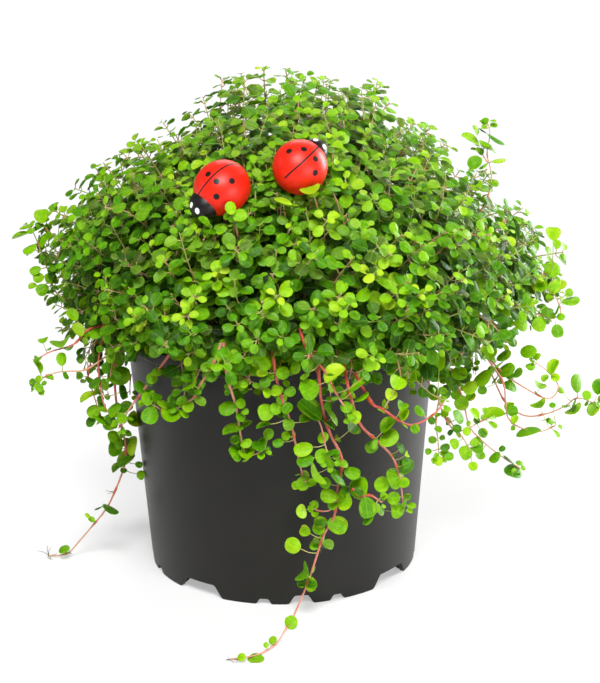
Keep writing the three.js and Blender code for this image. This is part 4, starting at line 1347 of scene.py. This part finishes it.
def dressLadybird(dome, matrix, material, node):
    places = np.array([tuple(vertex.co) for vertex in dome.data.vertices])
    attribute = dome.data.attributes.new("localPlace", "FLOAT_VECTOR", "POINT")
    attribute.data.foreach_set("vector", places.ravel())
    for vertex in dome.data.vertices:
        vertex.co = place(matrix @ vertex.co)
    dome.data.materials.clear()
    dome.data.materials.append(material)
    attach(dome, "root")
    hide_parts(node)


# Plain turned birch: pale tan with fine darker grain along the stick.
wood = dict(grain=0.8, relief=0.1, stretch=0.12, roughness=0.62)  # grain and relief in mm


def makeBirch():
    material, tree = newMaterial("turnedBirch")
    everywhere = addNode(tree, "TexCoord").outputs["Object"]
    stretched = addNode(tree, "Mapping", {"Vector": everywhere, "Scale": (1.0, 1.0, wood["stretch"])})
    grain = addNode(tree, "TexNoise", {"Vector": stretched, "Scale": metre / wood["grain"], "Detail": 4.0})
    colour = addNode(tree, "ValToRGB", {"Fac": grain}, [(0.3, "#a97f4b"), (0.7, "#dcbc88")])
    relief = addNode(tree, "Bump", {"Strength": 0.3, "Distance": wood["relief"] / metre, "Height": grain})
    stick = addNode(tree, "BsdfPrincipled", {
        "Base Color": colour, "Normal": relief, "Roughness": wood["roughness"],
    })
    addNode(tree, "OutputMaterial", {"Surface": stick})
    return material


birch = makeBirch()
for (name, art), matrix, inward in zip(ladybirdArt.items(), ladybirdFrames, intoLadybirds):
    bodyReach, headReach, headMiddle = paintedDomes(art)
    body = modelEgg(name + "_shell", 40, 24, bodyReach, (0, 0, 0), ladybird["under"], None)
    bodyPaint = makeBodyPaint(name, inward, bodyReach, art["seam"], art["spots"])
    dressLadybird(body, matrix, bodyPaint, name + "_body")
    cutBody = ladybird["halfLength"] - ladybird["neck"]
    head = modelEgg(name + "_face", 32, 20, headReach, headMiddle, ladybird["headUnder"], cutBody)
    headPaint = makeHeadPaint(name, inward, headMiddle, headReach, art["eyes"])
    dressLadybird(head, matrix, headPaint, name + "_head")
    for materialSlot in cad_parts[name + "_pick"].material_slots:
        materialSlot.material = birch
print("stage: ladybirds painted")


# The pot: thin injection-moulded polypropylene, charcoal grey, with a satin skin. The light spreads over it
# in broad soft bands, and its colour is very slightly uneven.
pot = dict(
    profile=[
        (0, 7.5), (30, 7.5), (52, 7.5), (55.4, 7.0), (56.0, 6.0), (55.5, 0.25), (55.75, 0), (57.25, 0),
        (57.5, 0.3), (58.0, 6.6), (60, 32.6), (62, 58.7), (64, 84.7), (65.17, 99.8), (65.4, 100.1),
        (66.9, 100.5), (67.35, 101.0), (67.65, 105.0), (67.3, 105.75), (66.5, 106.0), (64.7, 106.0),
        (64.2, 105.8), (64.03, 105.2), (62, 82), (60, 56), (58, 30), (56.9, 13.5), (56.2, 11.0),
        (53.8, 9.6), (50, 9.3), (30, 9.3), (0, 9.3),
    ],
    steps=600, footTurn=7, footRadius=57.5, footInside=54, flare=0.0767, floorHeight=7.5,
    notches=[(0, 8, 3.9), (-15.5, 5.0, 2.4), (15.5, 5.0, 2.4), (45, 19, 5.6)],  # turn, width, height
    notchSlant=0.85,  # how far a notch's end slants for each mm of its height
    patternStart=22.5,  # degrees before the front that each quarter's pattern begins
    webs=dict(turns=(32.6, 57.4), inner=48.0, outer=57.3, thickness=1.6, low=0.3, high=7.8, rise=5.4),
    holes=[(0, 30, 3.5), (45, 47, 4.5)], middleHole=4.0,  # turn, distance, radius
    colour=("#100f0a", "#15130e"), roughness=0.44, mottle=14.0,
)


def notchHeight(turn):  # how high the foot is cut away at that angle from the front
    turn = (turn - pot["footTurn"] + pot["patternStart"]) % 90 - pot["patternStart"]
    for middle, width, height in pot["notches"]:
        fromMiddle = abs(turn - middle) * math.radians(1) * pot["footRadius"]
        across = (fromMiddle - width / 2) / (pot["notchSlant"] * height) + 0.5
        if across < 1:
            slope = max(across, 0)
            return height * (1 - slope * slope * (3 - 2 * slope))
    return 0.0


def makePolypropylene():
    material, tree = newMaterial("mouldedPolypropylene")
    everywhere = addNode(tree, "TexCoord").outputs["Object"]
    mottle = addNode(tree, "TexNoise", {"Vector": everywhere, "Scale": metre / pot["mottle"], "Detail": 3.0})
    colour = addNode(tree, "ValToRGB", {"Fac": mottle}, [(0.3, pot["colour"][0]), (0.7, pot["colour"][1])])
    skin = addNode(tree, "TexNoise", {"Vector": everywhere, "Scale": metre / 0.7, "Detail": 2.0})
    relief = addNode(tree, "Bump", {"Strength": 0.10, "Distance": 0.08 / metre, "Height": skin})
    plastic = addNode(tree, "BsdfPrincipled", {
        "Base Color": colour, "Normal": relief, "Roughness": pot["roughness"], "IOR": 1.45,
        "Specular IOR Level": 0.36,
    })
    addNode(tree, "OutputMaterial", {"Surface": plastic})
    return material


def addWebs():  # behind each end of a wide notch the foot's wall turns inwards, and rises on the way
    webs = pot["webs"]
    made = []
    for quarter in range(4):
        for turn in webs["turns"]:
            bpy.ops.mesh.primitive_cube_add(size=1, location=(0, 0, 0))
            web = bpy.context.object
            bpy.ops.object.mode_set(mode="EDIT")
            bpy.ops.mesh.subdivide(number_cuts=3)
            bpy.ops.object.mode_set(mode="OBJECT")
            way = Matrix.Rotation(math.radians(pot["footTurn"] + turn + 90 * (quarter - 1)), 3, "Z")
            for vertex in web.data.vertices:
                x, y, z = vertex.co + Vector((0.5, 0, 0.5))
                low = webs["low"] + webs["rise"] * (1 - x) ** 2
                reach = webs["inner"] + (webs["outer"] - webs["inner"]) * x
                vertex.co = way @ Vector((reach, y * webs["thickness"], low + (webs["high"] - low) * z))
            made.append(web)
    return made


def modelPot():
    bpy.ops.object.select_all(action="DESELECT")
    bpy.ops.mesh.primitive_plane_add(size=1)
    made = bpy.context.object
    made.name = "nurseryPot"
    bpy.ops.object.mode_set(mode="EDIT")
    bpy.ops.mesh.select_all(action="SELECT")
    bpy.ops.mesh.merge(type="CENTER")
    bpy.ops.transform.translate(value=(pot["profile"][0][0], 0, pot["profile"][0][1]))
    for before, after in zip(pot["profile"], pot["profile"][1:]):
        step = (after[0] - before[0], 0, after[1] - before[1])
        bpy.ops.mesh.extrude_region_move(TRANSFORM_OT_translate={"value": step})
    bpy.ops.mesh.select_all(action="SELECT")
    bpy.ops.mesh.spin(steps=pot["steps"], angle=2 * math.pi, center=(0, 0, 0), axis=(0, 0, 1))
    bpy.ops.mesh.select_all(action="SELECT")
    bpy.ops.mesh.remove_doubles(threshold=0.01)
    bpy.ops.mesh.normals_make_consistent(inside=False)
    bpy.ops.object.mode_set(mode="OBJECT")
    for vertex in made.data.vertices:
        spot = vertex.co
        if spot.z < 1 and math.hypot(spot.x, spot.y) > pot["footInside"]:
            turn = math.degrees(math.atan2(spot.x, -spot.y))
            rise = notchHeight(turn)
            flare = 1 + pot["flare"] * rise / pot["footRadius"]
            vertex.co = (spot.x * flare, spot.y * flare, spot.z + rise)
    cutters = [(0, 0, pot["middleHole"])]
    for quarter in range(4):
        for turn, distance, radius in pot["holes"]:
            way = math.radians(pot["footTurn"] + turn + 90 * quarter)
            cutters.append((math.sin(way) * distance, -math.cos(way) * distance, radius))
    drills = []
    for x, y, radius in cutters:
        bpy.ops.mesh.primitive_cylinder_add(
            vertices=24, radius=radius, depth=6, location=(x, y, pot["floorHeight"] + 0.9)
        )
        drills.append(bpy.context.object)
    bpy.ops.object.select_all(action="DESELECT")
    for drill in drills:
        drill.select_set(True)
    bpy.ops.object.join()
    cutter = bpy.context.object
    bpy.context.view_layer.objects.active = made
    drilled = made.modifiers.new("drainHoles", "BOOLEAN")
    drilled.object = cutter
    bpy.ops.object.modifier_apply(modifier="drainHoles")
    bpy.data.objects.remove(cutter)
    webs = addWebs()
    for web in webs:
        web.select_set(True)
    made.select_set(True)
    bpy.context.view_layer.objects.active = made
    bpy.ops.object.join()
    for vertex in made.data.vertices:
        vertex.co = place(vertex.co)
    made.select_set(True)
    bpy.ops.object.shade_smooth_by_angle(angle=math.radians(32))
    made.data.materials.clear()
    made.data.materials.append(makePolypropylene())
    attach(made, "root")
    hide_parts("pot")
    return made


nurseryPot = modelPot()
print("stage: pot moulded,", len(nurseryPot.data.polygons), "faces")


# Peat potting soil: dark brown crumbs, matt, a few of them a paler brown.
soil = dict(radius=62.2, low=9.9, high=92.0, taper=0.86, crumb=3.0, rings=18, ringWidth=3.2)


def makePeat():
    material, tree = newMaterial("peatSoil")
    everywhere = addNode(tree, "TexCoord").outputs["Object"]
    crumbs = addNode(tree, "TexVoronoi", {"Vector": everywhere, "Scale": metre / soil["crumb"]})
    browns = [(0.0, "#140d08"), (0.6, "#34241a"), (0.95, "#5b4632")]
    colour = addNode(tree, "ValToRGB", {"Fac": crumbs.outputs["Color"]}, browns)
    relief = addNode(
        tree, "Bump", {"Strength": 0.8, "Distance": 0.8 / metre, "Height": crumbs.outputs["Distance"]}
    )
    peat = addNode(tree, "BsdfPrincipled", {"Base Color": colour, "Normal": relief, "Roughness": 0.95})
    addNode(tree, "OutputMaterial", {"Surface": peat})
    return material


def modelSoil():
    bpy.ops.object.select_all(action="DESELECT")
    bpy.ops.mesh.primitive_cylinder_add(
        vertices=96, radius=soil["radius"], depth=soil["high"] - soil["low"],
        location=(0, 0, (soil["high"] + soil["low"]) / 2),
    )
    made = bpy.context.object
    made.name = "pottingSoil"
    bpy.ops.object.transform_apply(location=True, rotation=False, scale=False)
    selectWhere(made, lambda spot: spot.z < 50)
    bpy.ops.transform.resize(value=(soil["taper"], soil["taper"], 1), center_override=(0, 0, 0))
    bpy.ops.object.mode_set(mode="OBJECT")
    for face in made.data.polygons:
        face.select = face.normal.z > 0.9
    bpy.ops.object.mode_set(mode="EDIT")
    bpy.ops.mesh.select_mode(type="FACE")
    for _ in range(soil["rings"]):
        bpy.ops.mesh.inset(thickness=soil["ringWidth"])
    bpy.ops.mesh.poke()
    bpy.ops.object.mode_set(mode="OBJECT")
    for vertex in made.data.vertices:
        spot = vertex.co
        reach = math.hypot(spot.x, spot.y) / soil["radius"]
        if spot.z > soil["high"] - 1 and reach < 0.98:
            crumbs = noise.noise(spot * 0.11) * 1.2 + noise.noise(spot * 0.4) * 0.7
            spot.z += 1.0 + 1.2 * (1 - reach) + crumbs
        vertex.co = place(spot)
    bpy.ops.object.shade_smooth_by_angle(angle=math.radians(60))
    made.data.materials.clear()
    made.data.materials.append(makePeat())
    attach(made, "root")
    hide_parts("soil")


modelSoil()
print("stage: soil filled")


# A white floor that glows as painted light, a white room and large soft lights.
studio = dict(
    floor="#e8e8e8", roomStrength=0.22, seenStrength=1.05, floorGlow=1.02,
    glowFrom=0.20, glowTo=0.50, glowNear=0.4,
)
lights = {  # place and aim in mm of the pot's frame, size in mm, power in watts
    "topFront": dict(spot=(-60, -640, 900), aim=(0, 0, 120), size=(420, 360), power=13.4),
    "leftSide": dict(spot=(-900, -50, 300), aim=(0, 0, 90), size=(200, 700), power=0.8),
    "rightSide": dict(spot=(780, 420, 260), aim=(0, 0, 90), size=(260, 700), power=17.5),
    "frontFill": dict(spot=(560, -740, 200), aim=(20, 0, 110), size=(500, 300), power=4.2),
    "back": dict(spot=(100, 800, 700), aim=(0, 0, 130), size=(600, 300), power=3.0),
}


def makeStudio():
    bpy.ops.object.select_all(action="DESELECT")
    bpy.ops.mesh.primitive_plane_add(size=6.0, location=(potAxis.x, potAxis.y, 0))
    floor = bpy.context.object
    floor.name = "floor"
    bpy.ops.object.transform_apply(location=True, rotation=False, scale=False)
    material, tree = newMaterial("mattWhiteFloorPaintedGlow")
    everywhere = addNode(tree, "TexCoord").outputs["Object"]
    away = addNode(tree, "VectorMath", {0: everywhere, 1: (potAxis.x, potAxis.y, 0)}, operation="DISTANCE")
    # painted light: the floor glows fully far out, so it reads as a white backdrop, and partly near the pot,
    # which lightens the shadows cast on it
    glow = addNode(tree, "MapRange", {
        "Value": away.outputs["Value"], "From Min": studio["glowFrom"],
        "From Max": studio["glowTo"], "To Min": studio["glowNear"],
    }, interpolation_type="SMOOTHSTEP")
    matt = addNode(tree, "BsdfPrincipled", {"Base Color": fromHex(studio["floor"]), "Roughness": 0.9})
    lit = addNode(tree, "Emission", {"Strength": studio["floorGlow"]})  # white far out, as a lit backdrop is
    both = addNode(tree, "MixShader", {0: glow, 1: matt, 2: lit})
    addNode(tree, "OutputMaterial", {"Surface": both})
    floor.data.materials.append(material)
    for name, spec in lights.items():
        lamp = bpy.data.lights.new(name, "AREA")
        lamp.shape = "RECTANGLE"
        lamp.size, lamp.size_y = (side / metre for side in spec["size"])
        lamp.energy = spec["power"]
        hung = bpy.data.objects.new(name, lamp)
        scene.collection.objects.link(hung)
        hung.location = place(spec["spot"])
        way = Vector(spec["aim"]) - Vector(spec["spot"])
        hung.rotation_euler = way.to_track_quat("-Z", "Y").to_euler()
    scene.world = bpy.data.worlds.new("whiteRoom")
    scene.world.use_nodes = True
    tree = scene.world.node_tree
    tree.nodes.clear()
    room = addNode(tree, "Background", {"Color": (1, 1, 1, 1), "Strength": studio["roomStrength"]})
    seen = addNode(tree, "Background", {"Color": (1, 1, 1, 1), "Strength": studio["seenStrength"]})
    path = addNode(tree, "LightPath")
    both = addNode(tree, "MixShader", {0: path.outputs["Is Camera Ray"], 1: room, 2: seen})
    addNode(tree, "OutputWorld", {"Surface": both})
    scene.view_settings.view_transform = "Standard"


makeStudio()
counts = triangleCounts.values()
print("stage: triangles of the plant,", sum(counts), "largest", max(counts))
print("stage: seconds,", round(time.time() - started, 1))
